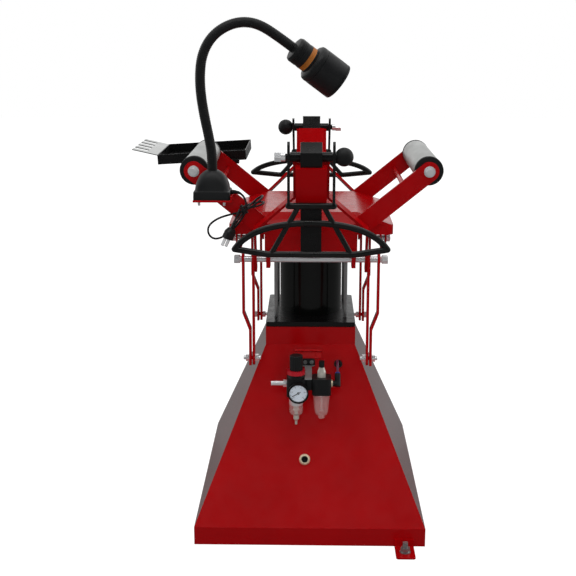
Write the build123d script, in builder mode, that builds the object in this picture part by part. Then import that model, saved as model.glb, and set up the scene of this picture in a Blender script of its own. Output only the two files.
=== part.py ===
from build123d import *
import math
import os

# Pneumatic tire spreader. Millimetres, +Z up, the operator's side is -Y.
# The origin is on the floor, under the middle of the pedestal.

os.makedirs("parts", exist_ok=True)

# Pedestal
BASE_W = 460
BASE_D = 575
LIP_H = 37
NECK_W = 184
NECK_D = 235
NECK_Z = 367
NECK_H = 37
SHEET = 3
PLATE_T = 10
PLATE_D = 230

# Air cylinder
CYL_R = 65
CYL_WALL = 5
CYL_TOP = 600
CAP_SIDE = 164
CAP_T = 20
TIE_ROD_R = 4
TIE_AT = 72
ROD_R = 12.5
RUN_FIT = 0.05
PISTON_T = 25
PISTON_Z = 424

# Carriage
DECK_W = 92
DECK_D = 154
DECK_Z = 647
DECK_CHAMFER = 21
APRON_Z = 551
WING_X = 163
WING_Z = 624
WING_LIP = 19
FOLD_T = 4
SHAFT_R = 6
SHAFT_Y = 168
SHAFT_Z = 558
SHAFT_HALF = 140
CAP_NUT_R = 9
CAP_NUT_L = 12

# Roller arms and rollers
ARM_T = 6
ARM_W = 38
ARM_FOOT = (99, 624)
AXLE = (230, 731)
AXLE_R = 8
ROLLER_R = 28.5
ROLLER_HALF = 150
SPACER_AT = 0.66
SPACER_R = 5

# Spreader arms
ARM_LEAN = 24
BAR = 40
BAR_OFF = 12
SLEEVE_W = 58
SLEEVE_H = 50
SLEEVE_FROM = 146
SLEEVE_TO = 231
HOOK_AT = 242
BLOCK_TO = 262
BAR_FROM = 40
YOKE_T = 5
YOKE_X = 109
YOKE_LEG_D = 16
HOOK_R = 6
BALL_R = 17.5
BALL_X = 60
CLAW_R = 6
PRONG_X = 42
REAR_CLAW_SWING = 45

# Fork links
LINK_T = 5
LINK_W = 18
LINK_IN = 114
LINK_OUT = 134
LINK_PINCH = 121
LINK_TIP = 340
LINK_BOLT_Z = 354
LINK_BOLT_R = 4
LINK_BEND_TOP = 450
LINK_BEND_LOW = 415

PANEL_RUN = (BASE_D - NECK_D) / 2
PANEL_RISE = NECK_Z - LIP_H
PANEL_TILT = math.degrees(math.atan(PANEL_RUN / PANEL_RISE))
PANEL_LEN = math.hypot(PANEL_RUN, PANEL_RISE)


def save(part, name):
    part.label = name
    export_step(part, f"parts/{name}.step")
    print(name, "solids", len(part.solids()), "volume", round(part.volume))


def panel_y(z):
    """The front panel's y at height z."""
    return -BASE_D / 2 + PANEL_RUN * (z - LIP_H) / PANEL_RISE


def on_panel(x, z):
    """A plane on the front panel that looks outward, with its y up the slope."""
    normal = (0, -PANEL_RISE / PANEL_LEN, PANEL_RUN / PANEL_LEN)
    return Plane(origin=(x, panel_y(z), z), x_dir=(1, 0, 0), z_dir=normal)


def facing_x(x, y=0, z=0):
    """A plane at x that looks along +X, with its sketch x along +Y."""
    return Plane(origin=(x, y, z), x_dir=(0, 1, 0), z_dir=(1, 0, 0))


def facing_front(y, x=0, z=0):
    """A plane at y that looks along -Y, with its sketch x along +X."""
    return Plane(origin=(x, y, z), x_dir=(1, 0, 0), z_dir=(0, -1, 0))


def facing_rear(y, x=0, z=0):
    """A plane at y that looks along +Y, with its sketch x along -X."""
    return Plane(origin=(x, y, z), x_dir=(-1, 0, 0), z_dir=(0, 1, 0))


# ---------------------------------------------------------------- pedestal

BULKHEAD = (-10.5, 157.5)
BULKHEAD_R = 8
GROMMET = (57, 331)
GROMMET_R = 6.5

with BuildPart() as base_shell:
    with BuildSketch():
        Rectangle(BASE_W, BASE_D)
    extrude(amount=LIP_H)
    with BuildSketch(Plane.XY.offset(LIP_H)):
        Rectangle(BASE_W, BASE_D)
    with BuildSketch(Plane.XY.offset(NECK_Z)):
        Rectangle(NECK_W, NECK_D)
    loft()
    with BuildSketch(Plane.XY.offset(NECK_Z)):
        Rectangle(NECK_W, NECK_D)
    extrude(amount=NECK_H)
    offset(amount=-SHEET, openings=base_shell.faces().sort_by(Axis.Z)[0])
    with BuildSketch(on_panel(*BULKHEAD)):
        Circle(BULKHEAD_R)
    extrude(amount=-4 * SHEET, mode=Mode.SUBTRACT)
    with BuildSketch(on_panel(*GROMMET)):
        Circle(GROMMET_R)
    extrude(amount=-4 * SHEET, mode=Mode.SUBTRACT)

with BuildPart() as base_bottom_plate:
    with BuildSketch():
        Rectangle(BASE_W - 2 * SHEET, BASE_D - 2 * SHEET)
    extrude(amount=SHEET)

PLATE_Z = NECK_Z + NECK_H
CYL_Z = PLATE_Z + PLATE_T

with BuildPart() as cylinder_mount_plate:
    with BuildSketch(Plane.XY.offset(PLATE_Z)):
        Rectangle(NECK_W, PLATE_D)
        with GridLocations(2 * TIE_AT, 2 * TIE_AT, 2, 2):
            Circle(TIE_ROD_R, mode=Mode.SUBTRACT)
    extrude(amount=PLATE_T)
    fillet(cylinder_mount_plate.edges().filter_by(Axis.Z).group_by(Axis.X)[0], 6)
    fillet(cylinder_mount_plate.edges().filter_by(Axis.Z).group_by(Axis.X)[-1], 6)

with BuildPart() as cylinder_tube:
    with BuildSketch(Plane.XY.offset(CYL_Z)):
        Circle(CYL_R)
        Circle(CYL_R - CYL_WALL, mode=Mode.SUBTRACT)
    extrude(amount=CYL_TOP - CYL_Z)

with BuildPart() as cylinder_top_cap:
    with BuildSketch(Plane.XY.offset(CYL_TOP)):
        RectangleRounded(CAP_SIDE, CAP_SIDE, 8)
        Circle(ROD_R + RUN_FIT, mode=Mode.SUBTRACT)
        with GridLocations(2 * TIE_AT, 2 * TIE_AT, 2, 2):
            Circle(TIE_ROD_R, mode=Mode.SUBTRACT)
    extrude(amount=CAP_T)

NUT_H = 6
TIE_NUT_R = 7

with BuildPart() as tie_rods:
    with BuildSketch(Plane.XY.offset(PLATE_Z)):
        with GridLocations(2 * TIE_AT, 2 * TIE_AT, 2, 2):
            Circle(TIE_ROD_R)
    extrude(amount=CYL_TOP + CAP_T + NUT_H + 3 - PLATE_Z)
    with BuildSketch(Plane.XY.offset(CYL_TOP + CAP_T)):
        with GridLocations(2 * TIE_AT, 2 * TIE_AT, 2, 2):
            RegularPolygon(TIE_NUT_R, 6)
    extrude(amount=NUT_H)

# A small angle bracket that hangs on the crease between the neck and the front panel.
HANGER_X = -5
HANGER_W = 54
HANGER_Z = 348
HANGER_H = 15
HANGER_REACH = 18

with BuildPart() as hanger_bracket:
    with BuildSketch(on_panel(HANGER_X, HANGER_Z)):
        Rectangle(HANGER_W, HANGER_H)
    extrude(amount=SHEET)
    with BuildSketch(on_panel(HANGER_X, HANGER_Z)):
        with Locations((0, HANGER_H / 2 - SHEET / 2)):
            Rectangle(HANGER_W, SHEET)
    extrude(amount=HANGER_REACH)
    fillet(hanger_bracket.edges().filter_by(Axis.X).sort_by(Axis.Y)[0], 1)

TAB_X = 188
TAB_W = 38
TAB_REACH = 55
TAB_H = 16
ANCHOR_Y = -BASE_D / 2 - 30
ANCHOR_R = 5
ANCHOR_L = 24

with BuildPart() as foot_tab:
    with BuildSketch():
        with Locations((TAB_X, -BASE_D / 2 - TAB_REACH / 2)):
            Rectangle(TAB_W, TAB_REACH)
        with Locations((TAB_X, ANCHOR_Y)):
            Circle(ANCHOR_R, mode=Mode.SUBTRACT)
    extrude(amount=SHEET)
    with BuildSketch():
        with Locations((TAB_X, -BASE_D / 2 - SHEET / 2)):
            Rectangle(TAB_W, SHEET)
    extrude(amount=TAB_H)
    fillet(foot_tab.edges().filter_by(Axis.Z).group_by(Axis.Y)[0], 5)

FRL_SCREW_X = -4
SCREW_HIGH = 333
FRL_SCREW_GAP = 13
BRACKET_T = 3

with BuildPart() as base_fasteners:
    with BuildSketch():
        with Locations((TAB_X, ANCHOR_Y)):
            Circle(ANCHOR_R)
    extrude(amount=ANCHOR_L)
    with BuildSketch(Plane.XY.offset(SHEET)):
        with Locations((TAB_X, ANCHOR_Y)):
            Circle(11)
    extrude(amount=2)
    with BuildSketch(Plane.XY.offset(SHEET + 2)):
        with Locations((TAB_X, ANCHOR_Y)):
            RegularPolygon(9, 6)
    extrude(amount=9)
    with BuildSketch(on_panel(FRL_SCREW_X, SCREW_HIGH).offset(BRACKET_T)):
        with GridLocations(FRL_SCREW_GAP, 1, 2, 1):
            Circle(4)
    extrude(amount=3)

with BuildPart() as bulkhead_connector:
    with BuildSketch(on_panel(*BULKHEAD).offset(-12)):
        Circle(BULKHEAD_R)
        Circle(4, mode=Mode.SUBTRACT)
    extrude(amount=12)
    with BuildSketch(on_panel(*BULKHEAD)):
        RegularPolygon(13, 6)
        Circle(6.5, mode=Mode.SUBTRACT)
    extrude(amount=9)
    with BuildSketch(on_panel(*BULKHEAD).offset(9)):
        Circle(9)
        Circle(6.5, mode=Mode.SUBTRACT)
    extrude(amount=7)

with BuildPart() as hose_grommet:
    with BuildSketch(on_panel(*GROMMET).offset(-SHEET)):
        Circle(GROMMET_R)
        Circle(GROMMET_R - 2.5, mode=Mode.SUBTRACT)
    extrude(amount=SHEET)
    with BuildSketch(on_panel(*GROMMET)):
        Circle(GROMMET_R + 2)
        Circle(GROMMET_R - 2.5, mode=Mode.SUBTRACT)
    extrude(amount=2.5)

# ---------------------------------------------------------------- air unit
# The unit hangs plumb in front of the sloping panel, its axis plane at FRL_Y.

FRL_Y = -210
REG_X = -28
LUB_X = 22.5
BODY = 38
REG_Z0 = 290
REG_Z1 = 326
BONNET_H = 8
LUB_Z0 = 294
LUB_Z1 = 328
PORT_Z = 314
SHELF_Z = 326
SHELF_W = 14
SPACER_D = 28

with BuildPart() as frl_bracket:
    with BuildSketch(on_panel(FRL_SCREW_X, SCREW_HIGH)):
        RectangleRounded(27, 16, 4)
    extrude(amount=BRACKET_T)
    with BuildSketch(Plane.XY.offset(SHELF_Z)):
        with Locations((FRL_SCREW_X, (FRL_Y - SPACER_D / 2 + panel_y(SHELF_Z)) / 2 - 1)):
            Rectangle(SHELF_W, panel_y(SHELF_Z) - FRL_Y + SPACER_D / 2 - 2)
    extrude(amount=BRACKET_T)
    with BuildSketch(Plane.XY.offset(PORT_Z - 10)):
        with Locations(((REG_X + LUB_X) / 2, FRL_Y)):
            RectangleRounded(LUB_X - REG_X - BODY, SPACER_D, 2)
    extrude(amount=SHELF_Z - PORT_Z + 10)

with BuildPart() as regulator_body:
    with BuildSketch(Plane.XY.offset(REG_Z0)):
        with Locations((REG_X, FRL_Y)):
            RectangleRounded(BODY, BODY, 8)
    extrude(amount=REG_Z1 - REG_Z0)
    with BuildSketch(Plane.XY.offset(REG_Z1)):
        with Locations((REG_X, FRL_Y)):
            Circle(16)
    extrude(amount=BONNET_H)
    with BuildSketch(Plane.XY.offset(REG_Z1 + BONNET_H)):
        with Locations((REG_X, FRL_Y)):
            Circle(4)
    extrude(amount=22)

RING_Z = REG_Z1 + BONNET_H
RING_T = 8

with BuildPart() as regulator_lock_ring:
    with BuildSketch(Plane.XY.offset(RING_Z)):
        with Locations((REG_X, FRL_Y)):
            Circle(18)
            Circle(4, mode=Mode.SUBTRACT)
    extrude(amount=RING_T)
    chamfer(regulator_lock_ring.edges().filter_by(GeomType.CIRCLE).group_by(Axis.Z)[-1][-1:], 1)

KNOB_Z = RING_Z + RING_T + 0.5
KNOB_R = 13
KNOB_H = 30
KNOB_BORE = 16

with BuildPart() as regulator_knob:
    with BuildSketch(Plane.XY.offset(KNOB_Z)):
        with Locations((REG_X, FRL_Y)):
            Circle(KNOB_R)
            with PolarLocations(KNOB_R + 1.2, 16):
                Circle(1.8, mode=Mode.SUBTRACT)
    extrude(amount=KNOB_H)
    chamfer(regulator_knob.faces().sort_by(Axis.Z)[-1].edges(), 0.8)
    with BuildSketch(Plane.XY.offset(KNOB_Z)):
        with Locations((REG_X, FRL_Y)):
            Circle(4 + RUN_FIT)
    extrude(amount=KNOB_BORE, mode=Mode.SUBTRACT)

GAUGE_R = 20.5
DIAL_R = 18.5
GAUGE_X = -23.5
GAUGE_Z = 305
GAUGE_Y = FRL_Y - BODY / 2 - 6
GAUGE_T = 15
RIM = 6

with BuildPart() as gauge_case:
    with BuildSketch(facing_front(FRL_Y - BODY / 2, GAUGE_X, GAUGE_Z)):
        Circle(7)
    extrude(amount=6)
    with BuildSketch(facing_front(GAUGE_Y, GAUGE_X, GAUGE_Z)):
        Circle(GAUGE_R)
    extrude(amount=GAUGE_T)
    fillet(gauge_case.edges().filter_by(GeomType.CIRCLE).sort_by(Axis.Y)[0], 1)
    with BuildSketch(facing_front(GAUGE_Y - GAUGE_T, GAUGE_X, GAUGE_Z)):
        Circle(DIAL_R)
    extrude(amount=-RIM, mode=Mode.SUBTRACT)

DIAL_Y = GAUGE_Y - GAUGE_T + RIM
PIVOT_R = 0.8

with BuildPart() as gauge_dial:
    with BuildSketch(facing_front(DIAL_Y, GAUGE_X, GAUGE_Z)):
        Circle(DIAL_R)
    extrude(amount=1)
    with BuildSketch(facing_front(DIAL_Y - 1, GAUGE_X, GAUGE_Z)):
        Circle(PIVOT_R)
    extrude(amount=2.3)

# The needle rests at zero, low on the left of the dial.
NEEDLE_AT = 210

with BuildPart() as gauge_needle:
    with BuildSketch(facing_front(DIAL_Y - 1.4, GAUGE_X, GAUGE_Z)):
        Circle(2.4)
        with Locations(Rot(0, 0, NEEDLE_AT)):
            with Locations((4.5, 0)):
                Rectangle(20, 1.3)
        Circle(PIVOT_R + RUN_FIT, mode=Mode.SUBTRACT)
    extrude(amount=0.8)

with BuildPart() as gauge_lens:
    with BuildSketch(facing_front(DIAL_Y - 3.6, GAUGE_X, GAUGE_Z)):
        Circle(DIAL_R)
    extrude(amount=1.8)

BOWL_Z = 248
BOWL_R = 14
STEM_R = 2.5
STEM_H = 9

with BuildPart() as filter_bowl:
    with BuildSketch(Plane.XY.offset(BOWL_Z)):
        with Locations((REG_X, FRL_Y)):
            Circle(BOWL_R)
    extrude(amount=REG_Z0 - BOWL_Z)
    fillet(filter_bowl.edges().filter_by(GeomType.CIRCLE).sort_by(Axis.Z)[0], 5)
    with BuildSketch(Plane.XY.offset(BOWL_Z)):
        with Locations((REG_X, FRL_Y)):
            Circle(STEM_R)
    extrude(amount=-STEM_H)

DRAIN_Z = BOWL_Z - 0.5
DRAIN_R = 6

with BuildPart() as filter_drain:
    with BuildSketch(Plane.XY.offset(DRAIN_Z)):
        with Locations((REG_X, FRL_Y)):
            Circle(DRAIN_R)
    extrude(amount=-8)
    with BuildSketch(Plane.XY.offset(DRAIN_Z - 8)):
        with Locations((REG_X, FRL_Y)):
            Circle(DRAIN_R)
    with BuildSketch(Plane.XY.offset(DRAIN_Z - 13)):
        with Locations((REG_X, FRL_Y)):
            Circle(2.6)
    loft()
    with BuildSketch(Plane.XY.offset(DRAIN_Z - 13)):
        with Locations((REG_X, FRL_Y)):
            Circle(2.6)
    extrude(amount=-7)
    with BuildSketch(Plane.XY.offset(DRAIN_Z)):
        with Locations((REG_X, FRL_Y)):
            Circle(STEM_R + RUN_FIT)
    extrude(amount=-STEM_H, mode=Mode.SUBTRACT)

with BuildPart() as lubricator_body:
    with BuildSketch(Plane.XY.offset(LUB_Z0)):
        with Locations((LUB_X, FRL_Y)):
            RectangleRounded(BODY, BODY, 8)
    extrude(amount=LUB_Z1 - LUB_Z0)

DOME_H = 20
DRIP_R = 2.5

with BuildPart() as sight_dome:
    with BuildSketch(Plane.XY.offset(LUB_Z1)):
        with Locations((LUB_X, FRL_Y)):
            Circle(8.5)
    extrude(amount=DOME_H * 0.55)
    with BuildSketch(Plane.XY.offset(LUB_Z1 + DOME_H * 0.55)):
        with Locations((LUB_X, FRL_Y)):
            Circle(8.5)
    with BuildSketch(Plane.XY.offset(LUB_Z1 + DOME_H)):
        with Locations((LUB_X, FRL_Y)):
            Circle(5.5)
    loft()
    with BuildSketch(Plane.XY.offset(LUB_Z1 + DOME_H)):
        with Locations((LUB_X, FRL_Y)):
            Circle(DRIP_R)
    extrude(amount=8)

with BuildPart() as lubricator_knob:
    with BuildSketch(Plane.XY.offset(LUB_Z1 + DOME_H + 0.5)):
        with Locations((LUB_X, FRL_Y)):
            Circle(5.5)
    extrude(amount=12.5)
    with BuildSketch(Plane.XY.offset(LUB_Z1 + DOME_H + 0.5)):
        with Locations((LUB_X, FRL_Y)):
            Circle(DRIP_R + RUN_FIT)
    extrude(amount=8.5, mode=Mode.SUBTRACT)

with BuildPart() as lubricator_bowl:
    with BuildSketch(Plane.XY.offset(LUB_Z0)):
        with Locations((LUB_X, FRL_Y)):
            Circle(17)
    with BuildSketch(Plane.XY.offset(BOWL_Z)):
        with Locations((LUB_X, FRL_Y)):
            Circle(13)
    loft()
    fillet(lubricator_bowl.edges().filter_by(GeomType.CIRCLE).sort_by(Axis.Z)[0], 5)
    with BuildSketch(Plane.XY.offset(BOWL_Z)):
        with Locations((LUB_X, FRL_Y)):
            Circle(6.5)
    extrude(amount=-7)

INLET_R = 4.75
INLET_X = REG_X - BODY / 2
INLET_HEX = 7
INLET_L = 24

with BuildPart() as inlet_nipple:
    with BuildSketch(facing_x(INLET_X, FRL_Y, PORT_Z)):
        RegularPolygon(7.5, 6)
    extrude(amount=-INLET_HEX)
    with BuildSketch(facing_x(INLET_X - INLET_HEX, FRL_Y, PORT_Z)):
        Circle(INLET_R)
    extrude(amount=-INLET_L)
    with BuildSketch(facing_x(INLET_X, FRL_Y, PORT_Z)):
        Circle(2)
    extrude(amount=-INLET_HEX - INLET_L, mode=Mode.SUBTRACT)

OUTLET_X = LUB_X + BODY / 2
ELBOW_X = 54.5
ELBOW_R = 6
ELBOW_L = 20
ELBOW_LEAN = 35
COLLET_H = 3

# The elbow's leg is swivelled back towards the panel.
LEG_AIM = Vector(0, 0, 1).rotate(Axis.X, -ELBOW_LEAN)
LEG = Plane(origin=(ELBOW_X, FRL_Y, PORT_Z), x_dir=(1, 0, 0), z_dir=LEG_AIM)

with BuildPart() as outlet_elbow:
    with BuildSketch(facing_x(OUTLET_X, FRL_Y, PORT_Z)):
        Circle(7.5)
    extrude(amount=3)
    with BuildSketch(facing_x(OUTLET_X, FRL_Y, PORT_Z)):
        Circle(ELBOW_R)
    extrude(amount=ELBOW_X - OUTLET_X)
    with BuildSketch(LEG):
        Circle(ELBOW_R)
    extrude(amount=ELBOW_L)
    with BuildSketch(LEG):
        Circle(ELBOW_R)
    extrude(amount=-ELBOW_R)
    with BuildSketch(LEG.offset(ELBOW_L)):
        Circle(ELBOW_R - 1)
    extrude(amount=COLLET_H)

# The hose leaves the collet, bends over and drops into the grommet. Each run is followed by a turn.
HOSE_R = 2.5
HOSE_RUNS = (8, 8, 8, 8, 11, 15, 15)
HOSE_TURNS = (17, 17, 17, 17, 14, 8)
HOSE_POINTS = [LEG.offset(ELBOW_L + COLLET_H).origin]
hose_lean = ELBOW_LEAN
for run, turn in zip(HOSE_RUNS, HOSE_TURNS + (0,)):
    step = Vector(0, 0, run).rotate(Axis.X, -hose_lean)
    HOSE_POINTS.append(HOSE_POINTS[-1] + step)
    hose_lean += turn
HOSE_POINTS[-1] += Vector(GROMMET[0] - ELBOW_X, 0, 0)


def tube(points, radius):
    """A round tube along points: straight runs that tangent arcs join."""
    points = [Vector(*p) for p in points]
    radii = []
    for before, at, after in zip(points, points[1:], points[2:]):
        turn = math.radians((at - before).get_angle(after - at))
        shorter = min((at - before).length, (after - at).length)
        radii.append(0.45 * shorter / math.tan(turn / 2))
    print("smallest bend", round(min(radii) / (2 * radius), 2), "diameters")
    line = FilletPolyline(*points, radius=radii)
    section = Plane(origin=points[0], z_dir=(points[1] - points[0]).normalized()) * Circle(radius)
    solid = sweep(section, path=line)
    print("length", round(line.length, 1))
    return solid


air_hose = tube(HOSE_POINTS, HOSE_R)

# ---------------------------------------------------------------- carriage


def deck_body(inset):
    """The carriage's outer form, drawn in by inset: deck, wings and aprons."""
    drop = inset * 0.9
    with BuildPart() as form:
        with BuildSketch(facing_rear(0)):
            with BuildLine():
                Polyline(
                    (-WING_X + inset, WING_Z - WING_LIP),
                    (-WING_X + inset, WING_Z - drop * 0.6),
                    (-DECK_W, DECK_Z - inset),
                    (DECK_W, DECK_Z - inset),
                    (WING_X - inset, WING_Z - drop * 0.6),
                    (WING_X - inset, WING_Z - WING_LIP),
                    close=True,
                )
            make_face()
        extrude(amount=DECK_D - inset, both=True)
        with BuildSketch(Plane.XY.offset(APRON_Z)):
            Rectangle(2 * DECK_W, 2 * (DECK_D - inset))
        extrude(amount=DECK_Z - inset - APRON_Z)
        outer = form.edges().filter_by(Axis.Z).group_by(Axis.X)
        fillet(outer[0] + outer[-1], 14 - inset)
        edge = DECK_D - inset
        slope = DECK_CHAMFER - inset * 0.6
        for side in (-1, 1):
            with BuildSketch(facing_x(-WING_X)):
                with BuildLine():
                    Polyline(
                        (side * edge, DECK_Z - inset - slope),
                        (side * (edge - slope), DECK_Z - inset),
                        (side * (edge - slope), DECK_Z + 5),
                        (side * (edge + 5), DECK_Z + 5),
                        (side * (edge + 5), DECK_Z - inset - slope),
                        close=True,
                    )
                make_face()
            extrude(amount=2 * WING_X, mode=Mode.SUBTRACT)
    return form.part


LUG_T = 8
LUG_X = 84
LUG_H = 30
CLEVIS_X = (146, 156)
CLEVIS_T = 3
CLEVIS_Z = 550
CLEVIS_D = 32
CLEVIS_BOLT_Z = 569
CLEVIS_BOLT_R = 5

with BuildPart() as carriage_deck:
    add(deck_body(0))
    add(deck_body(FOLD_T), mode=Mode.SUBTRACT)
    # Bearing lugs for the cross shafts, welded to the aprons.
    for end in (-1, 1):
        lug_y = end * (DECK_D + (SHAFT_Y + 14 - DECK_D) / 2)
        with BuildSketch(Plane.XY.offset(SHAFT_Z - LUG_H / 2)):
            with Locations((-LUG_X, lug_y), (LUG_X, lug_y)):
                Rectangle(LUG_T, SHAFT_Y + 14 - DECK_D)
        extrude(amount=LUG_H)
    with BuildSketch(facing_x(-LUG_X - LUG_T)):
        with Locations((SHAFT_Y, SHAFT_Z), (-SHAFT_Y, SHAFT_Z)):
            Circle(SHAFT_R)
    extrude(amount=2 * (LUG_X + LUG_T), mode=Mode.SUBTRACT)
    # Clevis strips under the wings.
    for side in (-1, 1):
        for x in CLEVIS_X:
            at = side * x if side > 0 else -x - CLEVIS_T
            roof = WING_Z + (WING_X - x) * (DECK_Z - WING_Z) / (WING_X - DECK_W) - FOLD_T * 0.6
            with BuildSketch(facing_x(at)):
                with Locations((0, (CLEVIS_Z + roof) / 2)):
                    Rectangle(CLEVIS_D, roof - CLEVIS_Z)
                with Locations((0, CLEVIS_BOLT_Z)):
                    Circle(CLEVIS_BOLT_R, mode=Mode.SUBTRACT)
            extrude(amount=CLEVIS_T)

with BuildPart() as piston_rod:
    with BuildSketch(Plane.XY.offset(PISTON_Z)):
        Circle(CYL_R - CYL_WALL - RUN_FIT)
    extrude(amount=PISTON_T)
    with BuildSketch(Plane.XY.offset(PISTON_Z + PISTON_T)):
        Circle(ROD_R)
    extrude(amount=DECK_Z - FOLD_T - PISTON_Z - PISTON_T)

ARM_DX = AXLE[0] - ARM_FOOT[0]
ARM_DZ = AXLE[1] - ARM_FOOT[1]
ARM_L = math.hypot(ARM_DX, ARM_DZ)
ARM_TILT = math.degrees(math.atan2(ARM_DZ, ARM_DX))
ARM_END_R = ARM_W / 2
SPACER_X = ARM_FOOT[0] + SPACER_AT * ARM_DX
SPACER_Z = ARM_FOOT[1] + SPACER_AT * ARM_DZ


def roller_arm_pair(side):
    """Front and rear bars of one side with the spacer rod between them."""
    with BuildPart() as bars:
        for y in (-DECK_D - ARM_T, DECK_D):
            with BuildSketch(facing_rear(y)):
                with Locations((-side * (ARM_FOOT[0] + ARM_DX / 2), ARM_FOOT[1] + ARM_DZ / 2)):
                    Rectangle(ARM_L, ARM_W, rotation=-side * ARM_TILT)
                with Locations((-side * AXLE[0], AXLE[1])):
                    Circle(ARM_END_R)
                    Circle(AXLE_R, mode=Mode.SUBTRACT)
            extrude(amount=ARM_T)
    with BuildPart() as spacer:
        with BuildSketch(facing_rear(-DECK_D)):
            with Locations((-side * SPACER_X, SPACER_Z)):
                Circle(SPACER_R)
        extrude(amount=2 * DECK_D)
    return bars.part.solids() + spacer.part.solids()


roller_arms = Compound(children=roller_arm_pair(-1) + roller_arm_pair(1))

with BuildPart() as roller_axles:
    for x in (-AXLE[0], AXLE[0]):
        with BuildSketch(facing_rear(-DECK_D - ARM_T)):
            with Locations((-x, AXLE[1])):
                Circle(AXLE_R)
        extrude(amount=2 * (DECK_D + ARM_T))
        for plane in (facing_rear(DECK_D + ARM_T, x, AXLE[1]), facing_front(-DECK_D - ARM_T, x, AXLE[1])):
            with BuildSketch(plane):
                Circle(11)
            extrude(amount=2)
            with BuildSketch(plane.offset(2)):
                RegularPolygon(9.5, 6)
            extrude(amount=7)
            with BuildSketch(plane.offset(9)):
                Circle(6.5)
            extrude(amount=3)


def roller(side):
    """A rubber-rimmed steel roller with its bore."""
    with BuildPart() as drum:
        with BuildSketch(facing_rear(-ROLLER_HALF)):
            with Locations((-side * AXLE[0], AXLE[1])):
                Circle(ROLLER_R)
                Circle(AXLE_R + RUN_FIT, mode=Mode.SUBTRACT)
        extrude(amount=2 * ROLLER_HALF)
        rims = drum.edges().filter_by(GeomType.CIRCLE).filter_by(lambda e: e.radius > ROLLER_R - 1)
        chamfer(rims, 1.5)
    return drum.part


with BuildPart() as cross_shafts:
    for y in (-SHAFT_Y, SHAFT_Y):
        with BuildSketch(facing_x(-SHAFT_HALF, y, SHAFT_Z)):
            Circle(SHAFT_R)
        extrude(amount=2 * SHAFT_HALF)
        for plane in (facing_x(SHAFT_HALF, y, SHAFT_Z), facing_x(-SHAFT_HALF - CAP_NUT_L, y, SHAFT_Z)):
            with BuildSketch(plane):
                RegularPolygon(CAP_NUT_R, 6)
            extrude(amount=CAP_NUT_L)

LAMP_X = -190
LAMP_BASE_W = 71
LAMP_BASE_D = 64
LAMP_Z = 684
LAMP_Y = -DECK_D - ARM_T - 1 - LAMP_BASE_D / 2
LAMP_PLATE_T = 4
LAMP_SCREW_X = (-217, -168)

with BuildPart() as carriage_fasteners:
    for x in (-CLEVIS_X[1] - CLEVIS_T - 9, CLEVIS_X[0] - 6):
        with BuildSketch(facing_x(x, 0, CLEVIS_BOLT_Z)):
            Circle(CLEVIS_BOLT_R)
        extrude(amount=CLEVIS_X[1] + CLEVIS_T + 9 - CLEVIS_X[0] + 6)
    for x in (-CLEVIS_X[1] - CLEVIS_T - 8, CLEVIS_X[1] + CLEVIS_T):
        with BuildSketch(facing_x(x, 0, CLEVIS_BOLT_Z)):
            RegularPolygon(9, 6)
        extrude(amount=8)
    for x in LAMP_SCREW_X:
        with BuildSketch(Plane.XY.offset(LAMP_Z - LAMP_PLATE_T)):
            with Locations((x, LAMP_Y)):
                Circle(5)
        extrude(amount=-4)
        with BuildSketch(Plane.XY.offset(LAMP_Z - LAMP_PLATE_T - 4)):
            with Locations((x, LAMP_Y)):
                Circle(2.5)
        extrude(amount=-7)

with BuildPart() as lamp_plate:
    with BuildSketch(Plane.XY.offset(LAMP_Z - LAMP_PLATE_T)):
        with Locations((LAMP_X, (LAMP_Y - LAMP_BASE_D / 2 - DECK_D - ARM_T) / 2)):
            Rectangle(LAMP_BASE_W + 1, LAMP_BASE_D + 1)
    extrude(amount=LAMP_PLATE_T)
    with BuildSketch(Plane.XY.offset(LAMP_Z)):
        with Locations((LAMP_X + LAMP_BASE_W / 2 + 2, (LAMP_Y - LAMP_BASE_D / 2 - DECK_D - ARM_T) / 2)):
            Rectangle(3, LAMP_BASE_D + 1)
    extrude(amount=8)
    with BuildSketch(Plane.XY.offset(LAMP_Z - LAMP_PLATE_T)):
        with Locations((LAMP_X + LAMP_BASE_W / 2 + 2, (LAMP_Y - LAMP_BASE_D / 2 - DECK_D - ARM_T) / 2)):
            Rectangle(3, LAMP_BASE_D + 1)
    extrude(amount=LAMP_PLATE_T)

BLOCK_H = 16
DOME_TOP_Z = 738
NECK_PLAN = (28, 26)

with BuildPart() as lamp_base:
    with BuildSketch(Plane.XY.offset(LAMP_Z)):
        with Locations((LAMP_X, LAMP_Y)):
            RectangleRounded(LAMP_BASE_W, LAMP_BASE_D, 4)
    extrude(amount=BLOCK_H)
    with BuildSketch(Plane.XY.offset(LAMP_Z + BLOCK_H)):
        with Locations((LAMP_X, LAMP_Y)):
            RectangleRounded(LAMP_BASE_W - 3, LAMP_BASE_D - 3, 12)
    with BuildSketch(Plane.XY.offset(LAMP_Z + BLOCK_H + 20)):
        with Locations((LAMP_X, LAMP_Y)):
            RectangleRounded(LAMP_BASE_W - 13, LAMP_BASE_D - 13, 14)
    with BuildSketch(Plane.XY.offset(DOME_TOP_Z)):
        with Locations((LAMP_X, LAMP_Y)):
            RectangleRounded(*NECK_PLAN, 10)
    loft(ruled=True)

NECK_R = 10
HEAD_AIM = Vector(0.781, 0.209, -0.588).normalized()
HEAD_MID = Vector(10, -140, 932)
CAP_R = 25
CAP_L = 42
CAP_BACK = -57.5
SHADE_R = 37
SHADE_L = 68
SHADE_T = 2.5
SHADE_BACK = CAP_BACK + CAP_L
NECK_DRIFT = 0.25


def neck_point(x, z):
    """A point of the gooseneck, which leans back a little as it crosses over."""
    return Vector(x, LAMP_Y + NECK_DRIFT * (x - LAMP_X), z)


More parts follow.
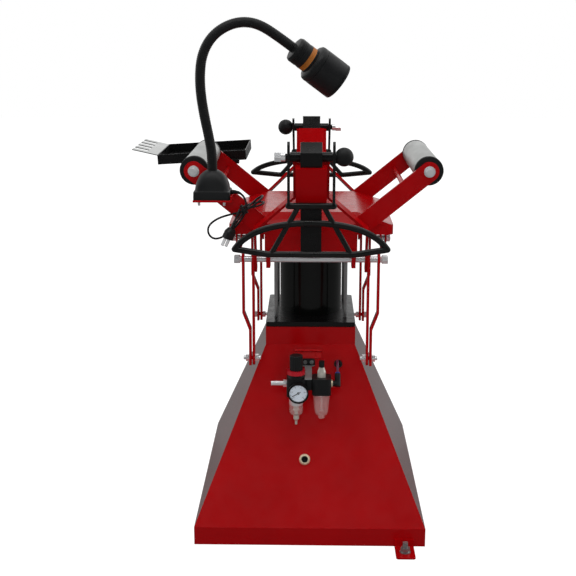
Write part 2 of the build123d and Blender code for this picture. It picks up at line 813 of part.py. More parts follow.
NECK_END = HEAD_MID + HEAD_AIM * CAP_BACK
NECK_LINE = [
    neck_point(LAMP_X, DOME_TOP_Z),
    neck_point(LAMP_X, 768),
    neck_point(-195.5, 802),
    neck_point(-203, 840),
    neck_point(-209, 880),
    neck_point(-210.5, 918),
    neck_point(-205.5, 956),
    neck_point(-188.5, 987),
    neck_point(-162, 1007),
    neck_point(-131, 1015.6),
    neck_point(-98, 1010),
    NECK_END - HEAD_AIM * 30,
    NECK_END,
]
gooseneck = tube(NECK_LINE, NECK_R)

HEAD = Plane(origin=HEAD_MID, x_dir=(0.6, 0, 0.797), z_dir=HEAD_AIM)

with BuildPart() as lamp_cap:
    with BuildSketch(HEAD.offset(CAP_BACK)):
        Circle(CAP_R)
    extrude(amount=CAP_L)
    fillet(lamp_cap.edges().filter_by(GeomType.CIRCLE).sort_by(Axis.Z)[-1], 4)

with BuildPart() as lamp_shade:
    with BuildSketch(HEAD.offset(SHADE_BACK)):
        Circle(SHADE_R)
    extrude(amount=SHADE_L)
    fillet(lamp_shade.edges().filter_by(GeomType.CIRCLE).sort_by(Axis.Z)[-1], 6)
    with BuildSketch(HEAD.offset(SHADE_BACK + 6)):
        Circle(SHADE_R - SHADE_T)
    extrude(amount=SHADE_L, mode=Mode.SUBTRACT)

LENS_T = 3
LENS_IN = 1.5

with BuildPart() as lamp_lens:
    with BuildSketch(HEAD.offset(SHADE_BACK + SHADE_L - LENS_IN - LENS_T)):
        Circle(SHADE_R - SHADE_T)
    extrude(amount=LENS_T)

# ---------------------------------------------------------------- tray

TRAY_L = 200
TRAY_H = 22
TRAY_Y0 = 176
TRAY_Y1 = 392
TRAY_WALL = 2
TRAY_MID = (-247, 716)
TRAY_TILT = -3.4
COMB_L = 58
COMB_ROOT = 25
COMB_T = 2
COMB_RISE = 16
TINES = 5

TRAY = Plane(
    origin=(TRAY_MID[0], (TRAY_Y0 + TRAY_Y1) / 2, TRAY_MID[1]),
    x_dir=(math.cos(math.radians(TRAY_TILT)), 0, -math.sin(math.radians(TRAY_TILT))),
    z_dir=(math.sin(math.radians(TRAY_TILT)), 0, math.cos(math.radians(TRAY_TILT))),
)
TRAY_D = TRAY_Y1 - TRAY_Y0

with BuildPart() as tool_tray:
    with BuildSketch(TRAY.offset(-TRAY_H / 2)):
        Rectangle(TRAY_L, TRAY_D)
    extrude(amount=TRAY_H)
    with BuildSketch(TRAY.offset(-TRAY_H / 2 + TRAY_WALL)):
        Rectangle(TRAY_L - 2 * TRAY_WALL, TRAY_D - 2 * TRAY_WALL)
    extrude(amount=TRAY_H, mode=Mode.SUBTRACT)
    # The lug that joins the tray to the roller arm.
    with BuildSketch(facing_rear(DECK_D + ARM_T)):
        with Locations((180, 708)):
            Rectangle(36, 8)
    extrude(amount=TRAY_Y0 - DECK_D - ARM_T + 1)

COMB = TRAY * Pos(-TRAY_L / 2, 0, TRAY_H / 2) * Rot(0, COMB_RISE, 0)
SLOT = (TRAY_D - 6) / (2 * TINES - 1)

with BuildPart() as tool_comb:
    with BuildSketch(Plane(COMB)):
        with Locations((-COMB_L / 2, 0)):
            Rectangle(COMB_L, TRAY_D - 6)
        for i in range(TINES - 1):
            with Locations((-COMB_L / 2 - COMB_ROOT / 2, -(TRAY_D - 6) / 2 + SLOT * (2 * i + 1.5))):
                Rectangle(COMB_L - COMB_ROOT, SLOT, mode=Mode.SUBTRACT)
    extrude(amount=-COMB_T)

# ---------------------------------------------------------------- spreader arms

LEAN = math.radians(ARM_LEAN)
FRONT_ARM = Plane(
    origin=(0, -SHAFT_Y, SHAFT_Z),
    x_dir=(1, 0, 0),
    z_dir=(0, -math.cos(LEAN), -math.sin(LEAN)),
)
YOKE_BEND_LOW = 72
YOKE_BEND_HIGH = 150
YOKE_FOOT = 26


def yoke_strip(side):
    """One bent strip: down the sleeve, out at a slant, then straight to the shaft."""
    near = side * (SLEEVE_W / 2 + YOKE_T / 2)
    far = side * YOKE_X
    with BuildPart() as strip:
        with BuildSketch(FRONT_ARM.offset(-YOKE_LEG_D / 2)):
            with BuildLine():
                Polyline((near, SLEEVE_TO), (near, YOKE_BEND_HIGH), (far, YOKE_BEND_LOW), (far, -YOKE_FOOT))
            trace(line_width=YOKE_T)
        extrude(amount=YOKE_LEG_D)
    return strip.part


with BuildPart() as front_yoke:
    with BuildSketch(FRONT_ARM.offset(BAR_OFF - SLEEVE_H / 2)):
        with Locations((0, (SLEEVE_FROM + SLEEVE_TO) / 2)):
            Rectangle(SLEEVE_W, SLEEVE_TO - SLEEVE_FROM)
    extrude(amount=SLEEVE_H)
    with BuildSketch(FRONT_ARM.offset(BAR_OFF - BAR / 2)):
        with Locations((0, (SLEEVE_FROM + SLEEVE_TO) / 2)):
            Rectangle(BAR, SLEEVE_TO - SLEEVE_FROM + 2)
    extrude(amount=BAR, mode=Mode.SUBTRACT)
    add(yoke_strip(-1))
    add(yoke_strip(1))
    with BuildSketch(facing_x(-YOKE_X - 10, -SHAFT_Y, SHAFT_Z)):
        Circle(SHAFT_R + RUN_FIT)
    extrude(amount=2 * YOKE_X + 20, mode=Mode.SUBTRACT)

HOOK = FRONT_ARM * Pos(0, HOOK_AT, BAR_OFF)
HOOK_Y = Plane(HOOK).origin.Y
HOOK_Z = Plane(HOOK).origin.Z
print("hook shaft", round(HOOK_Y, 2), round(HOOK_Z, 2))

with BuildPart() as front_slide_bar:
    with BuildSketch(FRONT_ARM.offset(BAR_OFF - BAR / 2)):
        with Locations((0, (BAR_FROM + BLOCK_TO) / 2)):
            Rectangle(BAR, BLOCK_TO - BAR_FROM)
    extrude(amount=BAR)
    with BuildSketch(facing_x(-BAR, HOOK_Y, HOOK_Z)):
        Circle(HOOK_R)
    extrude(amount=2 * BAR, mode=Mode.SUBTRACT)

PRONG_T = 5
PRONG_D = 16
COLLAR_R = 9
COLLAR_END = PRONG_X - PRONG_T / 2 - 0.4

with BuildPart() as front_hook_shaft:
    with BuildSketch(facing_x(-PRONG_X - 14, HOOK_Y, HOOK_Z)):
        Circle(HOOK_R)
    extrude(amount=PRONG_X + 14 + BALL_X - 8)
    for x in (-COLLAR_END, BAR / 2):
        with BuildSketch(facing_x(x, HOOK_Y, HOOK_Z)):
            Circle(COLLAR_R)
        extrude(amount=COLLAR_END - BAR / 2)
    with BuildSketch(facing_x(-PRONG_X - 26, HOOK_Y, HOOK_Z)):
        RegularPolygon(9.5, 6)
    extrude(amount=12)
    with BuildSketch(facing_x(-PRONG_X - 14, HOOK_Y, HOOK_Z)):
        Circle(8)
    extrude(amount=8)

with BuildPart() as front_ball_knob:
    with Locations((BALL_X, HOOK_Y, HOOK_Z)):
        Sphere(BALL_R)
    with BuildSketch(facing_x(BALL_X - BALL_R - 2, HOOK_Y, HOOK_Z)):
        Circle(HOOK_R + 2)
    extrude(amount=8)
    with BuildSketch(facing_x(PRONG_X, HOOK_Y, HOOK_Z)):
        Circle(HOOK_R + RUN_FIT)
    extrude(amount=BALL_X - 7 - PRONG_X, mode=Mode.SUBTRACT)
    split(bisect_by=Plane.YZ.offset(PRONG_X + PRONG_T / 2 + 0.4), keep=Keep.TOP)

PRONG_TOP = 28
CROSS_Z = 683
CROSS_X = 38
STRUT_TOP_X = 23
STRUT_FOOT_X = 75
LOW_Z = 591
CORNER_X = 143
CORNER_Z = 601
ARCH = [(CORNER_X, CORNER_Z), (122, 622), (90, 638), (45, 648), (0, 651)]


def rod(points, radius, tip=True):
    """Straight round rods along points, with ball corners."""
    with BuildPart() as run:
        for a, b in zip(points, points[1:]):
            a, b = Vector(*a), Vector(*b)
            with BuildSketch(Plane(origin=a, z_dir=(b - a).normalized())):
                Circle(radius)
            extrude(amount=(b - a).length)
        for p in points if tip else points[1:-1]:
            with Locations(p):
                Sphere(radius)
    return run.part


with BuildPart() as front_claw_frame:
    arch_half = [(x, HOOK_Y, z) for x, z in ARCH]
    arch_all = [(-x, y, z) for x, y, z in arch_half] + arch_half[-2::-1]
    with BuildLine() as arch_line:
        Spline(*arch_all)
    with BuildSketch(Plane(origin=arch_line.line @ 0, z_dir=arch_line.line % 0)):
        Circle(CLAW_R)
    sweep()
    low = [(-CORNER_X, CORNER_Z), (-80, LOW_Z), (80, LOW_Z), (CORNER_X, CORNER_Z)]
    add(rod([(x, HOOK_Y, z) for x, z in low], CLAW_R))
    for side in (-1, 1):
        add(rod([(side * STRUT_TOP_X, HOOK_Y, CROSS_Z), (side * STRUT_FOOT_X, HOOK_Y, LOW_Z)], CLAW_R - 1))
        with BuildSketch(facing_x(side * PRONG_X - PRONG_T / 2)):
            with BuildLine():
                Polyline(
                    (HOOK_Y - PRONG_D / 2, CROSS_Z + 4),
                    (HOOK_Y - PRONG_D / 2, HOOK_Z + PRONG_TOP - 6),
                    (HOOK_Y, HOOK_Z + PRONG_TOP),
                    (HOOK_Y + PRONG_D / 2, HOOK_Z + PRONG_TOP - 6),
                    (HOOK_Y + PRONG_D / 2, CROSS_Z + 4),
                    (HOOK_Y, CROSS_Z - 2),
                    close=True,
                )
            make_face()
            with Locations((HOOK_Y, HOOK_Z)):
                Circle(HOOK_R + RUN_FIT, mode=Mode.SUBTRACT)
        extrude(amount=PRONG_T)
    add(rod([(-PRONG_X, HOOK_Y, CROSS_Z), (PRONG_X, HOOK_Y, CROSS_Z)], CLAW_R))

# ---------------------------------------------------------------- fork links


def fork_link(side, end):
    """Inner and outer strip that hang from a cross shaft, with the bolt near their tips."""
    y = end * SHAFT_Y
    top = SHAFT_Z + LINK_W / 2 + 6
    with BuildPart() as inner:
        with BuildSketch(facing_x(side * LINK_IN - LINK_T / 2)):
            with Locations((y, (LINK_TIP + top) / 2)):
                RectangleRounded(LINK_W, top - LINK_TIP, 6)
            with Locations((y, SHAFT_Z)):
                Circle(SHAFT_R + RUN_FIT, mode=Mode.SUBTRACT)
            with Locations((y, LINK_BOLT_Z)):
                Circle(LINK_BOLT_R, mode=Mode.SUBTRACT)
        extrude(amount=LINK_T)
    with BuildPart() as outer:
        with BuildSketch(facing_rear(y)):
            with BuildLine():
                Polyline(
                    (-side * LINK_OUT, top),
                    (-side * LINK_OUT, LINK_BEND_TOP),
                    (-side * LINK_PINCH, LINK_BEND_LOW),
                    (-side * LINK_PINCH, LINK_TIP),
                )
            trace(line_width=LINK_T)
        extrude(amount=LINK_W / 2, both=True)
        for z, radius in ((SHAFT_Z, SHAFT_R + RUN_FIT), (LINK_BOLT_Z, LINK_BOLT_R)):
            with BuildSketch(facing_x(side * LINK_OUT - 25)):
                with Locations((y, z)):
                    Circle(radius)
            extrude(amount=50, mode=Mode.SUBTRACT)
    bolt_from = min(side * (LINK_IN - 14), side * (LINK_PINCH + 14))
    with BuildPart() as bolt:
        with BuildSketch(facing_x(bolt_from, y, LINK_BOLT_Z)):
            Circle(LINK_BOLT_R)
        extrude(amount=LINK_PINCH - LINK_IN + 28)
        for x in (side * (LINK_IN - LINK_T / 2), side * (LINK_PINCH + LINK_T / 2)):
            outward = 7 if x == max(side * (LINK_IN - LINK_T / 2), side * (LINK_PINCH + LINK_T / 2)) else -7
            with BuildSketch(facing_x(x, y, LINK_BOLT_Z)):
                RegularPolygon(7.5, 6)
            extrude(amount=outward)
    return Compound(children=inner.part.solids() + outer.part.solids() + bolt.part.solids())


# ---------------------------------------------------------------- lamp cord
# The mains lead is folded and tied in the air below the lamp: one wide loop to the left,
# two small loops to the right and one to the lower left, then the plug.

CORD_R = 2
LOOP_R = 16
LOOP_STEPS = 5
CORD_EXIT_Z = 696
TIE = Vector(-131, -181, 660)
TIE_AIM = Vector(0.76, 0, 0.65)
STACK = Vector(-0.65, 0, 0.76)
PASSES = (-6.3, -2.1, 2.1, 6.3)
PLUG_AT = Vector(-148, -203, 637)
PLUG_AIM = Vector(-0.42, -0.08, -0.9).normalized()


def lobe(aim, length, lift_in, lift_out):
    """A teardrop loop that leaves the tie along aim and comes back. It is wide along Y."""
    aim = Vector(*aim).normalized()
    across = Vector(0, 1, 0)
    reach = length - LOOP_R
    half = math.asin(LOOP_R / reach)
    step = (math.pi + 2 * half) / LOOP_STEPS
    corner_r = LOOP_R / math.cos(step / 2)
    points = []
    for i in range(LOOP_STEPS):
        angle = -(math.pi / 2 + half) + step * (i + 0.5)
        lift = lift_in + (lift_out - lift_in) * (i + 0.5) / LOOP_STEPS
        away = aim * (reach + corner_r * math.cos(angle))
        points.append(TIE + away + across * (corner_r * math.sin(angle)) + STACK * lift)
    return points


CORD_START = Vector(LAMP_X + LAMP_BASE_W / 2, LAMP_Y, CORD_EXIT_Z)
WIDE_LOOP = [
    (-142, 696),
    (-130, 687),
    (-125, 671),
    (-128, 654),
    (-138, 637),
    (-153, 620),
    (-171, 606),
    (-189, 601),
    (-201, 611),
    (-201, 627),
    (-187, 640),
    (-165, 649),
]
WIDE_LOOP_Y = -187
CORD_POINTS = [CORD_START]
for i, (x, z) in enumerate(WIDE_LOOP):
    CORD_POINTS.append(Vector(x, WIDE_LOOP_Y - (2 if i < 5 else 0), z))
CORD_POINTS.append(TIE + STACK * PASSES[0] + Vector(-6, -3, 0))
CORD_POINTS += lobe((33, 0, 28), 45, PASSES[0], PASSES[1])
CORD_POINTS.append(TIE + STACK * PASSES[1])
CORD_POINTS += lobe((-24, 0, -35), 45, PASSES[1], PASSES[2])
CORD_POINTS.append(TIE + STACK * PASSES[2])
CORD_POINTS += lobe((38, 0, 9), 43, PASSES[2], PASSES[3])
CORD_POINTS.append(TIE + STACK * PASSES[3])
CORD_POINTS.append(Vector(-144, -194, 653))
CORD_POINTS.append(PLUG_AT)

lamp_cord = tube(CORD_POINTS, CORD_R)

TIE_R = 8.7
TIE_W = 5

with BuildPart() as cord_tie:
    with BuildSketch(Plane(origin=TIE - TIE_AIM * TIE_W / 2, z_dir=TIE_AIM)):
        Circle(TIE_R + 1.5)
        Circle(TIE_R, mode=Mode.SUBTRACT)
    extrude(amount=TIE_W)

PLUG = Plane(origin=PLUG_AT, x_dir=(0.6, 0.76, 0), z_dir=PLUG_AIM)
PIN_GAP = 12.7

with BuildPart() as plug:
    with BuildSketch(PLUG):
        Circle(CORD_R + 1.5)
    extrude(amount=12)
    with BuildSketch(PLUG.offset(12)):
        RectangleRounded(14, 12, 4)
    with BuildSketch(PLUG.offset(20)):
        RectangleRounded(24, 15, 5)
    loft()
    with BuildSketch(PLUG.offset(20)):
        RectangleRounded(24, 15, 5)
    extrude(amount=14)
    with BuildSketch(PLUG.offset(34)):
        with GridLocations(PIN_GAP, 1, 2, 1):
            Rectangle(1.6, 6.3)
    extrude(amount=16)

save(base_shell.part, "base_shell")
save(base_bottom_plate.part, "base_bottom_plate")
save(cylinder_mount_plate.part, "cylinder_mount_plate")
save(cylinder_tube.part, "cylinder_tube")
save(cylinder_top_cap.part, "cylinder_top_cap")
save(tie_rods.part, "tie_rods")
save(hanger_bracket.part, "hanger_bracket")
save(foot_tab.part, "foot_tab")
save(base_fasteners.part, "base_fasteners")
save(bulkhead_connector.part, "bulkhead_connector")
save(hose_grommet.part, "hose_grommet")
save(air_hose, "air_hose")
save(frl_bracket.part, "frl_bracket")
save(regulator_body.part, "regulator_body")
save(regulator_lock_ring.part, "regulator_lock_ring")
save(regulator_knob.part, "regulator_knob")
save(Compound(children=[gauge_case.part, gauge_dial.part]), "gauge_case")
save(gauge_needle.part, "gauge_needle")
save(gauge_lens.part, "gauge_lens")
save(filter_bowl.part, "filter_bowl")
save(filter_drain.part, "filter_drain")
save(lubricator_body.part, "lubricator_body")
save(sight_dome.part, "sight_dome")
save(lubricator_knob.part, "lubricator_knob")
save(lubricator_bowl.part, "lubricator_bowl")
save(inlet_nipple.part, "inlet_nipple")
save(outlet_elbow.part, "outlet_elbow")

save(carriage_deck.part, "carriage_deck")
save(piston_rod.part, "piston_rod")
save(roller_arms, "roller_arms")
save(roller_axles.part, "roller_axles")
save(roller(-1), "roller_left")
save(roller(1), "roller_right")
save(cross_shafts.part, "cross_shafts")
save(carriage_fasteners.part, "carriage_fasteners")
save(lamp_plate.part, "lamp_plate")
save(lamp_base.part, "lamp_base")
save(gooseneck, "gooseneck")
save(lamp_cap.part, "lamp_cap")
save(lamp_shade.part, "lamp_shade")
save(lamp_lens.part, "lamp_lens")
save(lamp_cord, "lamp_cord")
save(cord_tie.part, "cord_tie")
save(plug.part, "plug")
save(tool_tray.part, "tool_tray")
save(tool_comb.part, "tool_comb")

# The rear arm is the front one turned half round. Its claw frame hangs swung outward.
TURN = Rot(0, 0, 180)
SWING = Pos(0, HOOK_Y, HOOK_Z) * Rot(-REAR_CLAW_SWING, 0, 0) * Pos(0, -HOOK_Y, -HOOK_Z)
pieces = {
    "yoke": front_yoke.part,
    "slide_bar": front_slide_bar.part,
    "hook_shaft": front_hook_shaft.part,
    "ball_knob": front_ball_knob.part,
}
for name, piece in pieces.items():
    save(piece, f"front_{name}")
    save(TURN * piece, f"rear_{name}")
save(front_claw_frame.part, "front_claw_frame")
save(TURN * SWING * front_claw_frame.part, "rear_claw_frame")

for side, side_name in ((-1, "left"), (1, "right")):
    save(fork_link(side, -1), f"link_front_{side_name}")
    save(fork_link(side, 1), f"link_rear_{side_name}")
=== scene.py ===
import math

import bpy
import bmesh
import numpy as np
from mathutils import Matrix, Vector


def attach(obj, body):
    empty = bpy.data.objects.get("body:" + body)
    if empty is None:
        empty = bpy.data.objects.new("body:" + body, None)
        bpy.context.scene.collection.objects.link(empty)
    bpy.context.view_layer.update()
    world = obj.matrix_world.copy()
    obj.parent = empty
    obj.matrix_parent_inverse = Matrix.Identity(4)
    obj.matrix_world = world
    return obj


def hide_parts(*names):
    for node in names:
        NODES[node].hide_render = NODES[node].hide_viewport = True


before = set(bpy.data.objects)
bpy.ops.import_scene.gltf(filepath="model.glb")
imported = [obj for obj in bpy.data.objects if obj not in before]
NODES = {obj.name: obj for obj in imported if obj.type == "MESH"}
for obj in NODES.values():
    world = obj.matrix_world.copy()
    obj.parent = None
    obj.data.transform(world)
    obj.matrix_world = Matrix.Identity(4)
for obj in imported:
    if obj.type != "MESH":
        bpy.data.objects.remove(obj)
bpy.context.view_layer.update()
scene = bpy.context.scene

# ------------------------------------------------------------------ camera

CAMERA_AT = (0.0, -2.294, 1.027)
CAMERA_DOWN = math.radians(13.94)
CAMERA_LEFT = math.radians(1.22)

camera_data = bpy.data.cameras.new("camera")
camera_data.lens = 68.75
camera_data.sensor_width = 36.0
camera_data.clip_end = 60.0
camera = bpy.data.objects.new("camera", camera_data)
camera.location = CAMERA_AT
camera.rotation_euler = (math.pi / 2 - CAMERA_DOWN, 0.0, CAMERA_LEFT)
scene.collection.objects.link(camera)
scene.camera = camera

# ------------------------------------------------------------------ materials


class Shader:
    """A node material that is built up one step at a time."""

    def __init__(self, name):
        self.mat = bpy.data.materials.new(name)
        self.mat.use_nodes = True
        self.tree = self.mat.node_tree
        self.bsdf = self.tree.nodes["Principled BSDF"]
        self.coord = self.tree.nodes.new("ShaderNodeTexCoord")

    def node(self, kind, **values):
        n = self.tree.nodes.new(kind)
        for key, value in values.items():
            setattr(n, key, value)
        return n

    def link(self, a, b):
        self.tree.links.new(a, b)

    def noise(self, scale, detail=3.0, stretch=(1, 1, 1)):
        mapping = self.node("ShaderNodeMapping")
        mapping.inputs["Scale"].default_value = stretch
        self.link(self.coord.outputs["Object"], mapping.inputs["Vector"])
        n = self.node("ShaderNodeTexNoise")
        n.inputs["Scale"].default_value = scale
        n.inputs["Detail"].default_value = detail
        self.link(mapping.outputs["Vector"], n.inputs["Vector"])
        return n.outputs["Fac"]

    def spread(self, fac, low, high, start=0.35, end=0.65):
        """fac mapped from start..end to low..high."""
        n = self.node("ShaderNodeMapRange")
        n.inputs["From Min"].default_value = start
        n.inputs["From Max"].default_value = end
        n.inputs["To Min"].default_value = low
        n.inputs["To Max"].default_value = high
        self.link(fac, n.inputs["Value"])
        return n.outputs["Result"]

    def tint(self, fac, dark, light):
        n = self.node("ShaderNodeMix", data_type="RGBA")
        n.inputs[6].default_value = (*dark, 1)
        n.inputs[7].default_value = (*light, 1)
        self.link(fac, n.inputs[0])
        self.link(n.outputs[2], self.bsdf.inputs["Base Color"])

    def rough(self, fac):
        self.link(fac, self.bsdf.inputs["Roughness"])

    def bump(self, fac, strength, distance=0.0005):
        n = self.node("ShaderNodeBump")
        n.inputs["Strength"].default_value = strength
        n.inputs["Distance"].default_value = distance
        self.link(fac, n.inputs["Height"])
        last = self.bsdf.inputs["Normal"]
        if last.is_linked:
            self.link(last.links[0].from_socket, n.inputs["Normal"])
        self.link(n.outputs["Normal"], last)


def shade(color, factor):
    return tuple(min(1.0, c * factor) for c in color)


def surface(name, color, rough, vary=0.1, metal=0.0, coat=0.0, grain=0.0, grain_scale=900,
            stretch=(1, 1, 1), specular=0.5):
    """A plain finish with soft variation in colour and roughness and a fine grain."""
    s = Shader(name)
    s.bsdf.inputs["Metallic"].default_value = metal
    s.bsdf.inputs["Coat Weight"].default_value = coat
    s.bsdf.inputs["Coat Roughness"].default_value = 0.06
    s.bsdf.inputs["Specular IOR Level"].default_value = specular
    broad = s.noise(14, 4, stretch)
    s.tint(s.spread(broad, 0, 1), shade(color, 1 - vary), shade(color, 1 + vary))
    s.rough(s.spread(s.noise(45, 5, stretch), rough * 0.82, rough * 1.2))
    if grain:
        s.bump(s.noise(grain_scale, 2, stretch), grain)
    return s.mat


RED = (0.345, 0.0012, 0.0026)
BLACK = (0.0045, 0.0046, 0.0048)
red_paint = surface("red_paint", RED, 0.2, vary=0.06, grain=0.02, grain_scale=520, specular=0.12)
red_panel = surface("red_panel", RED, 0.18, vary=0.05, grain=0.015, grain_scale=520, specular=0.22)
red_dark = surface("red_plate_edge", RED, 0.3, vary=0.08, grain=0.03, specular=0.3)
black_paint = surface("black_paint", BLACK, 0.3, vary=0.15, grain=0.04, grain_scale=700, specular=0.28)
black_frame = surface("black_tube_paint", (0.0065, 0.0068, 0.0066), 0.32, vary=0.2, grain=0.06, specular=0.34)
black_gloss = surface("cylinder_black", (0.002, 0.0024, 0.0022), 0.14, vary=0.1, grain=0.015, specular=0.3)
black_plastic = surface("black_plastic", (0.0085, 0.009, 0.0095), 0.42, vary=0.12, grain=0.1,
                        grain_scale=1600, specular=0.26)
soft_black = surface("black_rubbery", (0.007, 0.0073, 0.0076), 0.5, vary=0.15, grain=0.1, grain_scale=1200,
                     specular=0.28)
zinc = surface("zinc_steel", (0.42, 0.43, 0.43), 0.38, vary=0.12, metal=0.9, grain=0.08, grain_scale=500)
barrel = surface("roller_barrel", (0.40, 0.41, 0.40), 0.46, vary=0.16, metal=0.75, grain=0.25,
                 grain_scale=420, stretch=(1, 0.35, 1))
stainless = surface("stainless", (0.52, 0.53, 0.52), 0.3, vary=0.08, metal=1.0, grain=0.15, grain_scale=300,
                    stretch=(0.15, 3, 3))
chrome = surface("chrome", (0.94, 0.95, 0.98), 0.18, vary=0.05, metal=0.62, grain=0.015, specular=0.8)
brass = surface("brass", (0.86, 0.74, 0.52), 0.32, vary=0.12, metal=0.6, grain=0.03)
nickel = surface("nickel", (0.80, 0.76, 0.68), 0.2, vary=0.12, metal=0.62, grain=0.03, specular=0.8)
red_plastic = surface("red_plastic", (0.42, 0.006, 0.016), 0.3, vary=0.06, grain=0.04)
orange = surface("orange_band", (0.42, 0.13, 0.012), 0.5, vary=0.3, grain=0.04)
dial_white = surface("dial_white", (0.76, 0.83, 0.92), 0.5, vary=0.03)
gauge_black = surface("gauge_black", (0.003, 0.0032, 0.0034), 0.5, vary=0.12, grain=0.06, grain_scale=1600,
                      specular=0.12)
red_side = surface("red_side_gloss", RED, 0.12, vary=0.05, coat=1.0, grain=0.01, grain_scale=520)
# The hanger bracket's red is a lighter copy of the panel's red: painted light, for the light falling on its
# top face.
red_bracket_painted_light = surface("red_bracket_painted_light", shade(RED, 1.35), 0.3, vary=0.06, grain=0.03, specular=0.3)
shelf_grey = surface("shelf_grey", (0.20, 0.20, 0.20), 0.4, vary=0.12, grain=0.05, grain_scale=700)
ink = surface("dial_ink", (0.01, 0.012, 0.016), 0.6, vary=0.02)
blue_ring = surface("blue_collet", (0.012, 0.03, 0.22), 0.35, vary=0.08, grain=0.03)
hose_skin = surface("hose_skin", (0.12, 0.014, 0.05), 0.3, vary=0.1, coat=0.2)
rubber = surface("cord_rubber", (0.007, 0.007, 0.0075), 0.45, vary=0.12, grain=0.08, grain_scale=1500)


def clear(name, color, alpha, rough=0.06):
    s = Shader(name)
    s.bsdf.inputs["Alpha"].default_value = alpha
    s.bsdf.inputs["Coat Weight"].default_value = 0.3
    s.tint(s.spread(s.noise(60, 3), 0, 1), shade(color, 0.9), shade(color, 1.08))
    s.rough(s.spread(s.noise(120, 3), rough * 0.8, rough * 1.3))
    return s.mat


bowl_clear = clear("bowl_clear", (0.80, 0.56, 0.54), 0.26)
lens_clear = clear("gauge_glass", (0.8, 0.85, 0.9), 0.05)
lamp_glass = clear("lamp_glass", (0.7, 0.7, 0.66), 0.85, 0.3)

# ------------------------------------------------------------------ CAD nodes


def dress(name, *mats):
    """Gives a CAD node its materials, and returns the node."""
    obj = NODES[name]
    obj.data.materials.clear()
    for m in mats:
        obj.data.materials.append(m)
    return obj


def soften(name, width=0.0008, segments=2, angle=34):
    """Rounds a CAD node's sharp edges with modifiers."""
    obj = NODES[name]
    weld = obj.modifiers.new("weld", "WELD")
    weld.merge_threshold = 0.00002
    bevel = obj.modifiers.new("bevel", "BEVEL")
    bevel.width = width
    bevel.segments = segments
    bevel.limit_method = "ANGLE"
    bevel.angle_limit = math.radians(angle)
    bevel.use_clamp_overlap = True
    bevel.harden_normals = True


def pick_faces(name, index, test):
    """Faces of a CAD node whose centre passes the test use its material number index."""
    for p in NODES[name].data.polygons:
        if test(p.center):
            p.material_index = index


PLAIN = {
    "base_shell": red_panel,
    "base_bottom_plate": red_dark,
    "hanger_bracket": red_bracket_painted_light,
    "foot_tab": red_paint,
    "carriage_deck": red_paint,
    "roller_arms": red_paint,
    "lamp_plate": red_paint,
    "front_yoke": red_paint,
    "rear_yoke": red_paint,
    "cylinder_mount_plate": black_paint,
    "cylinder_tube": black_gloss,
    "cylinder_top_cap": black_paint,
    "front_slide_bar": black_paint,
    "rear_slide_bar": black_paint,
    "front_claw_frame": black_frame,
    "rear_claw_frame": black_frame,
    "tool_tray": black_paint,
    "frl_bracket": black_plastic,
    "tie_rods": zinc,
    "base_fasteners": zinc,
    "tool_comb": stainless,
    "piston_rod": chrome,
    "roller_axles": chrome,
    "cross_shafts": chrome,
    "carriage_fasteners": chrome,
    "filter_drain": nickel,
    "inlet_nipple": chrome,
    "bulkhead_connector": brass,
    "sight_dome": nickel,
    "hose_grommet": black_plastic,
    "regulator_body": black_plastic,
    "regulator_knob": black_plastic,
    "gauge_needle": ink,
    "lubricator_body": black_plastic,
    "lubricator_knob": black_plastic,
    "front_ball_knob": soft_black,
    "rear_ball_knob": soft_black,
    "regulator_lock_ring": red_plastic,
    "gauge_lens": lens_clear,
    "cord_tie": rubber,
}
for node, material in PLAIN.items():
    dress(node, material)

for node in ("base_shell", "carriage_deck", "roller_arms", "front_slide_bar", "rear_slide_bar", "tool_tray",
             "cylinder_mount_plate", "foot_tab", "hanger_bracket", "lamp_plate", "regulator_body",
             "lubricator_body", "frl_bracket", "cross_shafts", "roller_axles"):
    soften(node)

for face in dress("base_shell", red_panel, red_side).data.polygons:
    face.material_index = int(abs(face.normal.x) > 0.5)
SHELF_Z = 0.326
SHELF_T = 0.003
dress("frl_bracket", black_plastic, shelf_grey)
pick_faces("frl_bracket", 1, lambda c: abs(c.z - SHELF_Z - SHELF_T / 2) < SHELF_T / 2 + 1e-5)

# The nut at each hook shaft's end is chrome, and so are the ends of the links' bolts.
NUT_FROM_X = 0.0475
LINK_BOLT_Z = 0.354
LINK_BOLT_REACH = 0.009
STRIPS_FROM_X = 0.1114
STRIPS_TO_X = 0.1236


def on_link_bolt(c):
    """Whether a point is on the bolt's ends, outside the link's two strips."""
    return abs(c.z - LINK_BOLT_Z) < LINK_BOLT_REACH and not STRIPS_FROM_X < abs(c.x) < STRIPS_TO_X


for end, sign in (("front", -1), ("rear", 1)):
    dress(f"{end}_hook_shaft", black_paint, chrome)
    pick_faces(f"{end}_hook_shaft", 1, lambda c: sign * c.x > NUT_FROM_X)
    for side in ("left", "right"):
        dress(f"link_{end}_{side}", red_paint, chrome)
        pick_faces(f"link_{end}_{side}", 1, on_link_bolt)

# The elbow has a brass collar at its port and a blue release ring at its upper end.
ELBOW_COLLAR_TO_X = 0.0446
ELBOW_RING_FROM = 0.0201
dress("outlet_elbow", black_plastic, brass, blue_ring)
ELBOW_AT = Vector((0.0545, -0.210, 0.314))
ELBOW_LEAN = math.radians(35)
LEG_AIM = Vector((0, math.sin(ELBOW_LEAN), math.cos(ELBOW_LEAN)))
pick_faces("outlet_elbow", 1, lambda c: c.x < ELBOW_COLLAR_TO_X)
pick_faces("outlet_elbow", 2, lambda c: (c - ELBOW_AT).dot(LEG_AIM) > ELBOW_RING_FROM)

PRONGS_FROM = 0.0342
dress("plug", rubber, chrome)
PLUG_AT = Vector((-0.148, -0.203, 0.637))
PLUG_AIM = Vector((-0.42, -0.08, -0.9)).normalized()
pick_faces("plug", 1, lambda c: (c - PLUG_AT).dot(PLUG_AIM) > PRONGS_FROM)

# ------------------------------------------------------------------ mesh tools


